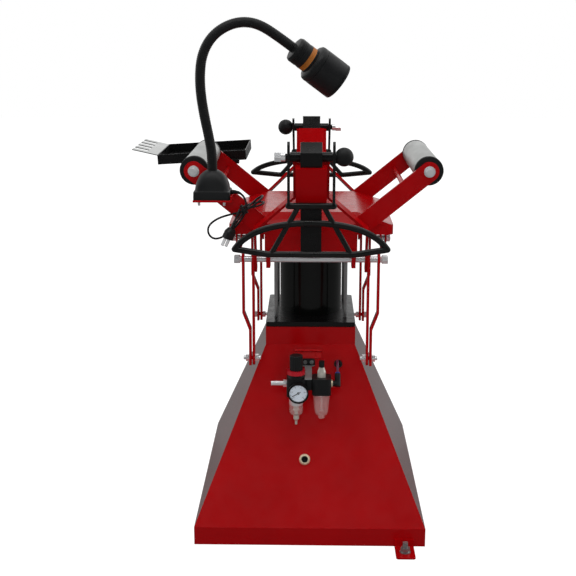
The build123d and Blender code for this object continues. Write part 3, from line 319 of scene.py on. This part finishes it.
def add_mesh(name, verts, faces, mats, body, replaced=(), face_mats=None, smooth=40):
    """Makes a piece from points and faces, rides it on a body and hides the CAD nodes it replaces."""
    mesh = bpy.data.meshes.new(name)
    mesh.from_pydata([tuple(v) for v in verts], [], faces)
    mesh.validate()
    obj = bpy.data.objects.new(name, mesh)
    scene.collection.objects.link(obj)
    for m in mats:
        mesh.materials.append(m)
    if face_mats:
        for p, i in zip(mesh.polygons, face_mats):
            p.material_index = i
    tidy = bmesh.new()
    tidy.from_mesh(mesh)
    bmesh.ops.remove_doubles(tidy, verts=tidy.verts, dist=1e-7)
    bmesh.ops.recalc_face_normals(tidy, faces=tidy.faces)
    tidy.to_mesh(mesh)
    tidy.free()
    for p in mesh.polygons:
        p.use_smooth = True
    mesh.set_sharp_from_angle(angle=math.radians(smooth))
    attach(obj, body)
    if replaced:
        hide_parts(*replaced)
    return obj


def basis(aim):
    """Two directions across aim, and aim itself."""
    aim = Vector(aim).normalized()
    side = aim.cross(Vector((0, 0, 1)))
    if side.length < 1e-4:
        side = Vector((1, 0, 0))
    side.normalize()
    return side, side.cross(aim).normalized() * -1, aim


def lathe(name, profile, at, aim, mats, body, replaced=(), segments=48, smooth=40):
    """Turns (radius, along, material) points about an axis. A radius of zero closes the end."""
    side, up, aim = basis(aim)
    at = Vector(at)
    verts, faces, picks, rings = [], [], [], []
    for radius, along, *_ in profile:
        ring = []
        if radius < 1e-7:
            ring = [len(verts)] * segments
            verts.append(at + aim * along)
        else:
            for k in range(segments):
                a = 2 * math.pi * k / segments
                ring.append(len(verts))
                verts.append(at + aim * along + (side * math.cos(a) + up * math.sin(a)) * radius)
        rings.append(ring)
    for i in range(len(rings) - 1):
        pick = profile[i + 1][2] if len(profile[i + 1]) > 2 else 0
        for k in range(segments):
            n = (k + 1) % segments
            quad = [rings[i][k], rings[i][n], rings[i + 1][n], rings[i + 1][k]]
            face = list(dict.fromkeys(quad))
            if len(face) > 2:
                faces.append(face)
                picks.append(pick)
    return add_mesh(name, verts, faces, mats, body, replaced, picks, smooth)


def rounded_ring(width, depth, corner, z, at, steps=8):
    """Points of a rounded rectangle at height z round at."""
    points = []
    corner = min(corner, width / 2 - 1e-5, depth / 2 - 1e-5)
    for cx, cy, start in ((1, 1, 0), (-1, 1, 90), (-1, -1, 180), (1, -1, 270)):
        for k in range(steps + 1):
            a = math.radians(start + 90 * k / steps)
            points.append(Vector((
                at[0] + cx * (width / 2 - corner) + corner * math.cos(a),
                at[1] + cy * (depth / 2 - corner) + corner * math.sin(a),
                z,
            )))
    return points


def loft(name, rings, mats, body, replaced=(), smooth=40):
    """A closed skin over rings that have the same number of points."""
    verts = [p for ring in rings for p in ring]
    n = len(rings[0])
    faces = [list(range(n))[::-1]]
    for i in range(len(rings) - 1):
        for k in range(n):
            m = (k + 1) % n
            faces.append([i * n + k, i * n + m, (i + 1) * n + m, (i + 1) * n + k])
    last = (len(rings) - 1) * n
    faces.append(list(range(last, last + n)))
    return add_mesh(name, verts, faces, mats, body, replaced, None, smooth)


# ------------------------------------------------------------------ lamp cord

CORD_R = 0.002
LOOP_R = 0.016
LOOP_STEPS = 5
TIE = Vector((-0.131, -0.181, 0.660))
STACK = Vector((-0.65, 0, 0.76))
PASSES = (-0.0063, -0.0021, 0.0021, 0.0063)


def lobe(aim, length, lift_in, lift_out):
    """A teardrop loop that leaves the tie along aim and comes back. It is wide along Y."""
    aim = Vector(aim).normalized()
    reach = length - LOOP_R
    half = math.asin(LOOP_R / reach)
    step = (math.pi + 2 * half) / LOOP_STEPS
    corner_r = LOOP_R / math.cos(step / 2)
    points = []
    for i in range(LOOP_STEPS):
        angle = -(math.pi / 2 + half) + step * (i + 0.5)
        lift = lift_in + (lift_out - lift_in) * (i + 0.5) / LOOP_STEPS
        away = aim * (reach + corner_r * math.cos(angle))
        points.append(TIE + away + Vector((0, corner_r * math.sin(angle), 0)) + STACK * lift)
    return points


# The wide loop's (x, z) points: down from the foot, out to the left and back to the tie.
WIDE_LOOP = [(-0.142, 0.696), (-0.130, 0.687), (-0.125, 0.671), (-0.128, 0.654), (-0.138, 0.637),
             (-0.153, 0.620), (-0.171, 0.606), (-0.189, 0.601), (-0.201, 0.611), (-0.201, 0.627),
             (-0.187, 0.640), (-0.165, 0.649)]
cord_points = [Vector((-0.1545, -0.193, 0.696))]
cord_points += [Vector((x, -0.189 if i < 5 else -0.187, z)) for i, (x, z) in enumerate(WIDE_LOOP)]
cord_points.append(TIE + STACK * PASSES[0] + Vector((-0.006, -0.003, 0)))
cord_points += lobe((33, 0, 28), 0.045, PASSES[0], PASSES[1])
cord_points.append(TIE + STACK * PASSES[1])
cord_points += lobe((-24, 0, -35), 0.045, PASSES[1], PASSES[2])
cord_points.append(TIE + STACK * PASSES[2])
cord_points += lobe((38, 0, 9), 0.043, PASSES[2], PASSES[3])
cord_points.append(TIE + STACK * PASSES[3])
cord_points.append(Vector((-0.144, -0.194, 0.653)))
cord_points.append(PLUG_AT)


def nurbs_tube(name, points, radius, material):
    """A smooth round tube with points as its spline's control points."""
    curve = bpy.data.curves.new(name, "CURVE")
    curve.dimensions = "3D"
    spline = curve.splines.new("NURBS")
    spline.points.add(len(points) - 1)
    for p, co in zip(spline.points, points):
        p.co = (*co, 1)
    spline.order_u = 3
    spline.use_endpoint_u = True
    spline.resolution_u = 8
    curve.bevel_depth = radius
    curve.bevel_resolution = 4
    curve.use_fill_caps = True
    curve.materials.append(material)
    obj = bpy.data.objects.new(name, curve)
    scene.collection.objects.link(obj)
    return obj


lamp_lead = nurbs_tube("lamp_lead", cord_points, CORD_R, rubber)
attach(lamp_lead, "carriage")
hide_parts("lamp_cord")

# The air hose leaves the elbow's collet, bends over and drops into the grommet.
HOSE_RUNS = (0.008, 0.008, 0.008, 0.008, 0.011, 0.015, 0.015)
HOSE_TURNS = (17, 17, 17, 17, 14, 8, 0)
HOSE_R = 0.0025
hose_points = [ELBOW_AT + LEG_AIM * 0.023]
hose_lean = ELBOW_LEAN
for run, turn in zip(HOSE_RUNS, HOSE_TURNS):
    hose_points.append(hose_points[-1] + Vector((0, math.sin(hose_lean), math.cos(hose_lean))) * run)
    hose_lean += math.radians(turn)
hose_points[-1] += Vector((0.0025, 0, 0))
air_line = nurbs_tube("air_line", hose_points, HOSE_R, hose_skin)
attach(air_line, "base")
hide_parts("air_hose")

# ------------------------------------------------------------------ rollers

ROLLER_R = 0.0285
ROLLER_HALF = 0.150
ROLLER_X = 0.230
ROLLER_Z = 0.731
BORE_R = 0.0081
RIM = 0.009
DRUM_R = ROLLER_R - 0.0007
GROOVE_R = ROLLER_R - 0.0009

# Black end caps with a shallow groove between each and the metal drum. Material 1 is the caps'.
ROLLER_PROFILE = [
    (BORE_R, -ROLLER_HALF, 1),
    (ROLLER_R - 0.002, -ROLLER_HALF, 1),
    (ROLLER_R - 0.0005, -ROLLER_HALF + 0.0008, 1),
    (ROLLER_R, -ROLLER_HALF + 0.002, 1),
    (ROLLER_R, -ROLLER_HALF + RIM, 1),
    (GROOVE_R, -ROLLER_HALF + RIM + 0.0006, 1),
    (DRUM_R, -ROLLER_HALF + RIM + 0.0012, 0),
    (DRUM_R, 0, 0),
    (DRUM_R, ROLLER_HALF - RIM - 0.0012, 0),
    (GROOVE_R, ROLLER_HALF - RIM - 0.0006, 0),
    (ROLLER_R, ROLLER_HALF - RIM, 1),
    (ROLLER_R, ROLLER_HALF - 0.002, 1),
    (ROLLER_R - 0.0005, ROLLER_HALF - 0.0008, 1),
    (ROLLER_R - 0.002, ROLLER_HALF, 1),
    (BORE_R, ROLLER_HALF, 1),
    (BORE_R, -ROLLER_HALF, 1),
]
for side, x in (("left", -ROLLER_X), ("right", ROLLER_X)):
    lathe(f"roller_drum_{side}", ROLLER_PROFILE, (x, 0, ROLLER_Z), (0, 1, 0), [barrel, soft_black],
          f"roller_{side}", (f"roller_{side}",), segments=72)

# ------------------------------------------------------------------ lamp

HEAD_AIM = Vector((0.781, 0.209, -0.588)).normalized()
HEAD_MID = Vector((0.010, -0.140, 0.932))
CAP_BACK = -0.0575
CAP_L = 0.042
CAP_R = 0.025
SHADE_BACK = CAP_BACK + CAP_L
SHADE_R = 0.037
SHADE_L = 0.068

cap = [(0, 0), (CAP_R - 0.006, 0), (CAP_R - 0.002, 0.0015), (CAP_R - 0.0004, 0.005)]
for k in range(4):
    s0 = 0.006 + k * 0.0036
    cap += [(CAP_R, s0), (CAP_R, s0 + 0.0022), (CAP_R - 0.0008, s0 + 0.0026), (CAP_R - 0.0008, s0 + 0.0032)]
cap += [(CAP_R, 0.0290), (CAP_R - 0.0002, 0.0296, 1), (CAP_R - 0.0002, 0.0386, 1), (CAP_R, 0.0392),
        (CAP_R, CAP_L), (0, CAP_L)]
lathe("lamp_rear_cap", cap, HEAD_MID + HEAD_AIM * CAP_BACK, HEAD_AIM, [black_plastic, orange], "carriage",
      ("lamp_cap",))

# The cup's outside from its back to its mouth, with two grooves, then its inside.
shade_profile = [
    (0, 0.0002),
    (CAP_R + 0.004, 0.0002),
    (SHADE_R - 0.005, 0.0012),
    (SHADE_R - 0.0012, 0.0045),
    (SHADE_R - 0.0002, 0.009),
    (SHADE_R - 0.0002, 0.014),
    (SHADE_R - 0.0012, 0.0146),
    (SHADE_R - 0.0012, 0.0160),
    (SHADE_R - 0.0002, 0.0166),
    (SHADE_R, 0.030),
    (SHADE_R, SHADE_L - 0.0062),
    (SHADE_R - 0.001, SHADE_L - 0.0056),
    (SHADE_R - 0.001, SHADE_L - 0.0044),
    (SHADE_R, SHADE_L - 0.0038),
    (SHADE_R, SHADE_L - 0.0008),
    (SHADE_R - 0.0006, SHADE_L),
    (SHADE_R - 0.0020, SHADE_L),
    (SHADE_R - 0.0026, SHADE_L - 0.0010),
    (SHADE_R - 0.0026, 0.030),
    (SHADE_R - 0.006, 0.012),
    (0, 0.008),
]
lathe("lamp_shade_cup", shade_profile, HEAD_MID + HEAD_AIM * SHADE_BACK, HEAD_AIM, [black_plastic],
      "carriage", ("lamp_shade",), segments=64)

LENS_AT = HEAD_MID + HEAD_AIM * (SHADE_BACK + SHADE_L - 0.0045)
lens = [(0, 0), (0.0336, 0), (0.0340, 0.0010), (0.0330, 0.0022), (0.026, 0.0029), (0.012, 0.003),
        (0, 0.003)]
lathe("lamp_lens_disc", lens, LENS_AT, HEAD_AIM, [lamp_glass], "carriage", ("lamp_lens",))

LAMP_AT = (-0.190, -0.193)
LAMP_Z = 0.684
base_rings = [
    rounded_ring(0.0695, 0.0625, 0.004, LAMP_Z + 0.0002, LAMP_AT),
    rounded_ring(0.0705, 0.0635, 0.004, LAMP_Z + 0.0010, LAMP_AT),
    rounded_ring(0.0700, 0.0630, 0.004, LAMP_Z + 0.0145, LAMP_AT),
    rounded_ring(0.0690, 0.0620, 0.005, LAMP_Z + 0.0158, LAMP_AT),
    rounded_ring(0.0660, 0.0590, 0.007, LAMP_Z + 0.0162, LAMP_AT),
    rounded_ring(0.0655, 0.0580, 0.010, LAMP_Z + 0.0175, LAMP_AT),
    rounded_ring(0.0630, 0.0560, 0.014, LAMP_Z + 0.0260, LAMP_AT),
    rounded_ring(0.0570, 0.0500, 0.016, LAMP_Z + 0.0360, LAMP_AT),
    rounded_ring(0.0480, 0.0420, 0.016, LAMP_Z + 0.0440, LAMP_AT),
    rounded_ring(0.0370, 0.0330, 0.014, LAMP_Z + 0.0500, LAMP_AT),
    rounded_ring(0.0280, 0.0260, 0.0125, LAMP_Z + 0.0530, LAMP_AT),
    rounded_ring(0.0250, 0.0245, 0.0120, LAMP_Z + 0.0539, LAMP_AT),
]
loft("lamp_foot", base_rings, [black_plastic], "carriage", ("lamp_base",), smooth=50)

HEAD_BACK = HEAD_MID + HEAD_AIM * CAP_BACK
NECK_LINE = [(-190, 738), (-190, 768), (-195.5, 802), (-203, 840), (-209, 880), (-210.5, 918), (-205.5, 956),
             (-188.5, 987), (-162, 1007), (-131, 1015.6), (-98, 1010)]
neck_line = [Vector((x, LAMP_AT[1] * 1000 + 0.25 * (x + 190), z)) / 1000 for x, z in NECK_LINE]
neck_line += [HEAD_BACK - HEAD_AIM * 0.030, HEAD_BACK]


def soft_line(points, step):
    """Rounds each corner of a polyline from one run's middle to the next and samples it evenly."""
    middles = [points[0]] + [(a + b) / 2 for a, b in zip(points[1:-2], points[2:-1])] + [points[-1]]
    fine = []
    for a, corner, b in zip(middles, points[1:-1], middles[1:]):
        for k in range(60):
            t = k / 60
            fine.append(a * (1 - t) ** 2 + corner * 2 * t * (1 - t) + b * t * t)
    fine.append(points[-1])
    reach = np.concatenate([[0], np.cumsum([(b - a).length for a, b in zip(fine, fine[1:])])])
    even = np.linspace(0, reach[-1], int(reach[-1] / step) + 1)
    values = np.array([tuple(p) for p in fine])
    return [Vector([float(np.interp(t, reach, values[:, i])) for i in range(3)]) for t in even]


def ring_tube(name, line, radii, mats, body, replaced=(), segments=28):
    """A closed tube along line, with a radius for each of its points."""
    verts, faces = [], []
    normal = Vector((0, 1, 0))
    for i, p in enumerate(line):
        tangent = (line[min(i + 1, len(line) - 1)] - line[max(i - 1, 0)]).normalized()
        normal = (normal - tangent * normal.dot(tangent)).normalized()
        across = tangent.cross(normal)
        for k in range(segments):
            a = 2 * math.pi * k / segments
            verts.append(p + (normal * math.cos(a) + across * math.sin(a)) * radii[i])
    for i in range(len(line) - 1):
        for k in range(segments):
            m = (k + 1) % segments
            faces.append([i * segments + k, i * segments + m, (i + 1) * segments + m, (i + 1) * segments + k])
    faces.append(list(range(segments))[::-1])
    faces.append(list(range((len(line) - 1) * segments, len(line) * segments)))
    return add_mesh(name, verts, faces, mats, body, replaced, None, 60)


neck_path = soft_line(neck_line, 0.0012)
NECK_R = 0.0097
NECK_GROOVE = 0.0007
neck_radii = [NECK_R - (NECK_GROOVE if i % 3 == 2 else 0) for i in range(len(neck_path))]
ring_tube("lamp_neck", neck_path, neck_radii, [soft_black], "carriage", ("gooseneck",))

# The lead leaves the lamp's foot through a tapered strain relief with five grooves.
RELIEF_L = 0.021
RELIEF_BACK_R = 0.0042
RELIEF_TIP_R = 0.0025
RELIEF_GROOVE = 0.0005


def spline_line(points, reach):
    """Points read from a cord's own spline, from its start as far as reach."""
    bare = nurbs_tube("bare_route", points, 0, rubber)
    route = bpy.data.meshes.new_from_object(bare)
    line = [route.vertices[0].co.copy()]
    gone = 0
    for vertex in route.vertices[1:]:
        gone += (vertex.co - line[-1]).length
        if gone > reach:
            break
        line.append(vertex.co.copy())
    bpy.data.objects.remove(bare)
    bpy.data.meshes.remove(route)
    return line


relief_line = spline_line(cord_points, RELIEF_L)
relief_radii = []
for i in range(len(relief_line)):
    along = i / (len(relief_line) - 1)
    groove = RELIEF_GROOVE if i % 3 == 1 and along > 0.2 else 0
    relief_radii.append(RELIEF_BACK_R + (RELIEF_TIP_R - RELIEF_BACK_R) * along - groove)
ring_tube("lead_strain_relief", relief_line, relief_radii, [soft_black], "carriage")

# ------------------------------------------------------------------ gauge

GAUGE_AT = Vector((-0.0235, -0.229, 0.305))
GAUGE_AIM = (0, -1, 0)
# The stem, the case's back and wall, the rim round the dial, and the seat behind the dial.
case = [(0, 0), (0.0068, 0), (0.0068, 0.006), (0.0160, 0.0062), (0.0195, 0.0075), (0.0200, 0.0095),
        (0.0200, 0.0155), (0.0205, 0.0162), (0.0205, 0.0200), (0.0202, 0.0207), (0.0196, 0.0210),
        (0.0178, 0.0208), (0.0176, 0.0200), (0.0176, 0.0152), (0.0068, 0.0152), (0, 0.0152)]
lathe("gauge_housing", case, GAUGE_AT, GAUGE_AIM, [gauge_black], "base", ("gauge_case",),
      segments=64)
face = [(0, 0.0153), (0.0183, 0.0153), (0.0184, 0.0157), (0, 0.0160)]
lathe("gauge_face", face, GAUGE_AT, GAUGE_AIM, [dial_white], "base", segments=64)

tick_verts, tick_faces = [], []
DIAL_FRONT = GAUGE_AT.y - 0.01605


def dial_bar(angle, r0, r1, width):
    """Adds one printed bar that points outward from r0 to r1."""
    a = math.radians(angle)
    out = Vector((math.cos(a), 0, math.sin(a)))
    side = Vector((-math.sin(a), 0, math.cos(a)))
    middle = Vector((GAUGE_AT.x, 0, GAUGE_AT.z))
    for y in (DIAL_FRONT, DIAL_FRONT - 0.00008):
        for r, s in ((r0, -1), (r1, -1), (r1, 1), (r0, 1)):
            p = middle + out * r + side * s * width / 2
            tick_verts.append(Vector((p.x, y, p.z)))
    n = len(tick_verts) - 8
    tick_faces.extend([[n + 3, n + 2, n + 1, n], [n + 4, n + 5, n + 6, n + 7]])
    for k in range(4):
        tick_faces.append([n + k, n + (k + 1) % 4, n + 4 + (k + 1) % 4, n + 4 + k])


# The scale starts at the lower left and runs clockwise. Every fourth tick is long.
SCALE_START = 225
SCALE_SWEEP = 270
TICKS = 41
TICK_OUT = 0.0170
BAND_OUT = 0.01725
BAND_BARS = 60
NUMBER_R = 0.0122
for i in range(TICKS):
    angle = SCALE_START - i * SCALE_SWEEP / (TICKS - 1)
    if i % 4 == 0:
        dial_bar(angle, 0.0140, TICK_OUT, 0.0005)
    else:
        dial_bar(angle, 0.0155, TICK_OUT, 0.00025)
for i in range(BAND_BARS):
    dial_bar(SCALE_START - i * SCALE_SWEEP / (BAND_BARS - 1), TICK_OUT, BAND_OUT, 0.0009)
add_mesh("gauge_ticks", tick_verts, tick_faces, [ink], "base")

NUMBERS = ("0", "2", "4", "6", "8", "10")
for i, label in enumerate(NUMBERS):
    a = math.radians(SCALE_START - i * SCALE_SWEEP / (len(NUMBERS) - 1))
    text = bpy.data.curves.new(f"gauge_number_{i}", "FONT")
    text.body = label
    text.size = 0.0036
    text.align_x = "CENTER"
    text.align_y = "CENTER"
    text.extrude = 0.00004
    text.materials.append(ink)
    obj = bpy.data.objects.new(f"gauge_number_{i}", text)
    across = NUMBER_R * math.cos(a)
    up = NUMBER_R * math.sin(a)
    obj.location = (GAUGE_AT.x + across, DIAL_FRONT - 0.00006, GAUGE_AT.z + up)
    obj.rotation_euler = (math.pi / 2, 0, 0)
    scene.collection.objects.link(obj)
    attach(obj, "base")

# ------------------------------------------------------------------ bowls

REG_AT = (-0.028, -0.210)
LUB_AT = (0.0225, -0.210)
BOWL_TOP = 0.290
BOWL_LOW = 0.248


def hang(name, profile, at, mats, replaced=()):
    """Turns (radius, height) points about the vertical line at (x, y)."""
    lathe(name, profile, (*at, 0), (0, 0, 1), mats, "base", replaced)


filter_bowl = [(0.0136, BOWL_TOP), (0.0138, 0.262), (0.0136, 0.2545), (0.0120, 0.2505), (0.0090, 0.2484),
               (0.0045, BOWL_LOW), (0.0026, BOWL_LOW), (0.0026, 0.2396), (0, 0.2396)]
filter_element = [(0, 0.289), (0.0075, 0.289), (0.0075, 0.2745), (0.0090, 0.2740), (0.0090, 0.2722),
                  (0.0062, 0.2716), (0.0062, 0.2600), (0.0070, 0.2595), (0.0070, 0.2580),
                  (0.0040, 0.2560), (0.0040, 0.2500), (0, 0.2498)]
filter_collar = [(0.0110, 0.2895), (0.0142, 0.2895), (0.0142, 0.2706), (0.0138, 0.2700), (0.0110, 0.2700),
                 (0.0110, 0.2895)]
lubricator_bowl = [(0.0165, 0.294), (0.0168, 0.290), (0.0160, 0.280), (0.0142, 0.262), (0.0132, 0.2535),
                   (0.0110, 0.2495), (0.0066, BOWL_LOW), (0.0064, 0.2460), (0.0064, 0.2420),
                   (0.0055, 0.2411), (0, 0.2411)]
lubricator_tube = [(0, 0.2935), (0.0024, 0.2935), (0.0024, 0.2600), (0.0042, 0.2590), (0.0042, 0.2560),
                   (0, 0.2555)]
lubricator_collar = [(0.0140, 0.2945), (0.0168, 0.2945), (0.0170, 0.2925), (0.0166, 0.2910),
                     (0.0140, 0.2910), (0.0140, 0.2945)]
hang("filter_bowl_clear", filter_bowl, REG_AT, [bowl_clear], ("filter_bowl",))
hang("filter_element", filter_element, REG_AT, [nickel])
hang("filter_collar", filter_collar, REG_AT, [chrome])
hang("lubricator_bowl_clear", lubricator_bowl, LUB_AT, [bowl_clear], ("lubricator_bowl",))
hang("lubricator_tube", lubricator_tube, LUB_AT, [bowl_clear])
hang("lubricator_collar", lubricator_collar, LUB_AT, [bowl_clear])

# The air connector stands square to the front panel, which leans back by its run over its rise.
PANEL_RISE = 0.330
PANEL_RUN = 0.170
PANEL_FOOT_Y = -0.2875
PANEL_FOOT_Z = 0.037
PANEL_OUT = Vector((0, -PANEL_RISE, PANEL_RUN)).normalized()
PORT_X = -0.0105
PORT_Z = 0.1575
PORT_AT = Vector((PORT_X, PANEL_FOOT_Y + PANEL_RUN * (PORT_Z - PANEL_FOOT_Z) / PANEL_RISE, PORT_Z))
port_collar = [(0.0064, -0.004), (0.0080, -0.004), (0.0080, 0), (0.0112, 0), (0.0114, 0.0010),
               (0.0112, 0.0024), (0.0100, 0.0052), (0.0090, 0.0066), (0.0078, 0.0070), (0.0068, 0.0068),
               (0.0064, 0.0060), (0.0064, -0.004)]
port_throat = [(0, -0.0035), (0.0063, -0.0035), (0.0063, 0.0035), (0.0052, 0.0035), (0.0050, -0.0015),
               (0, -0.0015)]
lathe("bulkhead_collar", port_collar, PORT_AT, PANEL_OUT, [brass], "base", ("bulkhead_connector",))
lathe("bulkhead_throat", port_throat, PORT_AT, PANEL_OUT, [soft_black], "base")

# ------------------------------------------------------------------ stage

floor_mesh = bpy.data.meshes.new("floor")
FLOOR_Z = -0.0008
floor_corners = [(-6, -6, FLOOR_Z), (6, -6, FLOOR_Z), (6, 9, FLOOR_Z), (-6, 9, FLOOR_Z)]
floor_mesh.from_pydata(floor_corners, [], [(0, 1, 2, 3)])
floor = bpy.data.objects.new("floor", floor_mesh)
scene.collection.objects.link(floor)
floor_look = Shader("floor_pale")
floor_look.tint(floor_look.noise(2), (0.16, 0.16, 0.16), (0.19, 0.19, 0.19))
floor_look.rough(floor_look.spread(floor_look.noise(6), 0.75, 0.9))
floor_look.bsdf.inputs["Specular IOR Level"].default_value = 0.1
floor_look.bsdf.inputs["Emission Color"].default_value = (1, 1, 1, 1)
ray = floor_look.node("ShaderNodeLightPath")
lift = floor_look.node("ShaderNodeMath", operation="MULTIPLY")
lift.inputs[1].default_value = 0.98
floor_look.link(ray.outputs["Is Camera Ray"], lift.inputs[0])
floor_look.link(lift.outputs[0], floor_look.bsdf.inputs["Emission Strength"])
floor_mesh.materials.append(floor_look.mat)

world = bpy.data.worlds.new("studio")
scene.world = world
world.use_nodes = True
wt = world.node_tree
# The studio is dark in front of the object and bright behind it. The camera itself sees plain white.
background = wt.nodes["Background"]
coord = wt.nodes.new("ShaderNodeTexCoord")
split = wt.nodes.new("ShaderNodeSeparateXYZ")
wt.links.new(coord.outputs["Generated"], split.inputs[0])
ramp = wt.nodes.new("ShaderNodeMapRange")
ramp.interpolation_type = "SMOOTHSTEP"
ramp.inputs["From Min"].default_value = -0.55
ramp.inputs["From Max"].default_value = 0.10
ramp.inputs["To Min"].default_value = 0.03
ramp.inputs["To Max"].default_value = 0.95
wt.links.new(split.outputs["Y"], ramp.inputs["Value"])
path = wt.nodes.new("ShaderNodeLightPath")
seen = wt.nodes.new("ShaderNodeMath")
seen.operation = "MAXIMUM"
wt.links.new(ramp.outputs["Result"], seen.inputs[0])
wt.links.new(path.outputs["Is Camera Ray"], seen.inputs[1])
wt.links.new(seen.outputs[0], background.inputs["Strength"])
background.inputs["Color"].default_value = (1, 1, 1, 1)


def area(name, at, target, size, power, mirrored=False):
    """A soft light, which reflections show only when it is mirrored."""
    data = bpy.data.lights.new(name, "AREA")
    data.shape = "RECTANGLE"
    data.size, data.size_y = size
    data.energy = power
    lamp = bpy.data.objects.new(name, data)
    lamp.location = at
    lamp.rotation_euler = (Vector(target) - Vector(at)).to_track_quat("-Z", "Y").to_euler()
    lamp.visible_glossy = mirrored
    scene.collection.objects.link(lamp)


area("light_top", (0, -0.3, 3.2), (0, 0, 0.5), (2.4, 2.4), 12)
area("softbox", (0, -1.1, 3.2), (0, 0, 0.6), (2.2, 1.0), 18, True)
area("light_front", (0, -3.6, 1.5), (0, 0, 0.5), (3.4, 2.6), 62)
area("light_left", (-2.6, -1.2, 1.2), (0, 0, 0.6), (1.4, 2.2), 12)
area("light_right", (2.6, -1.2, 1.2), (0, 0, 0.6), (1.4, 2.2), 12)

scene.view_settings.view_transform = "Standard"
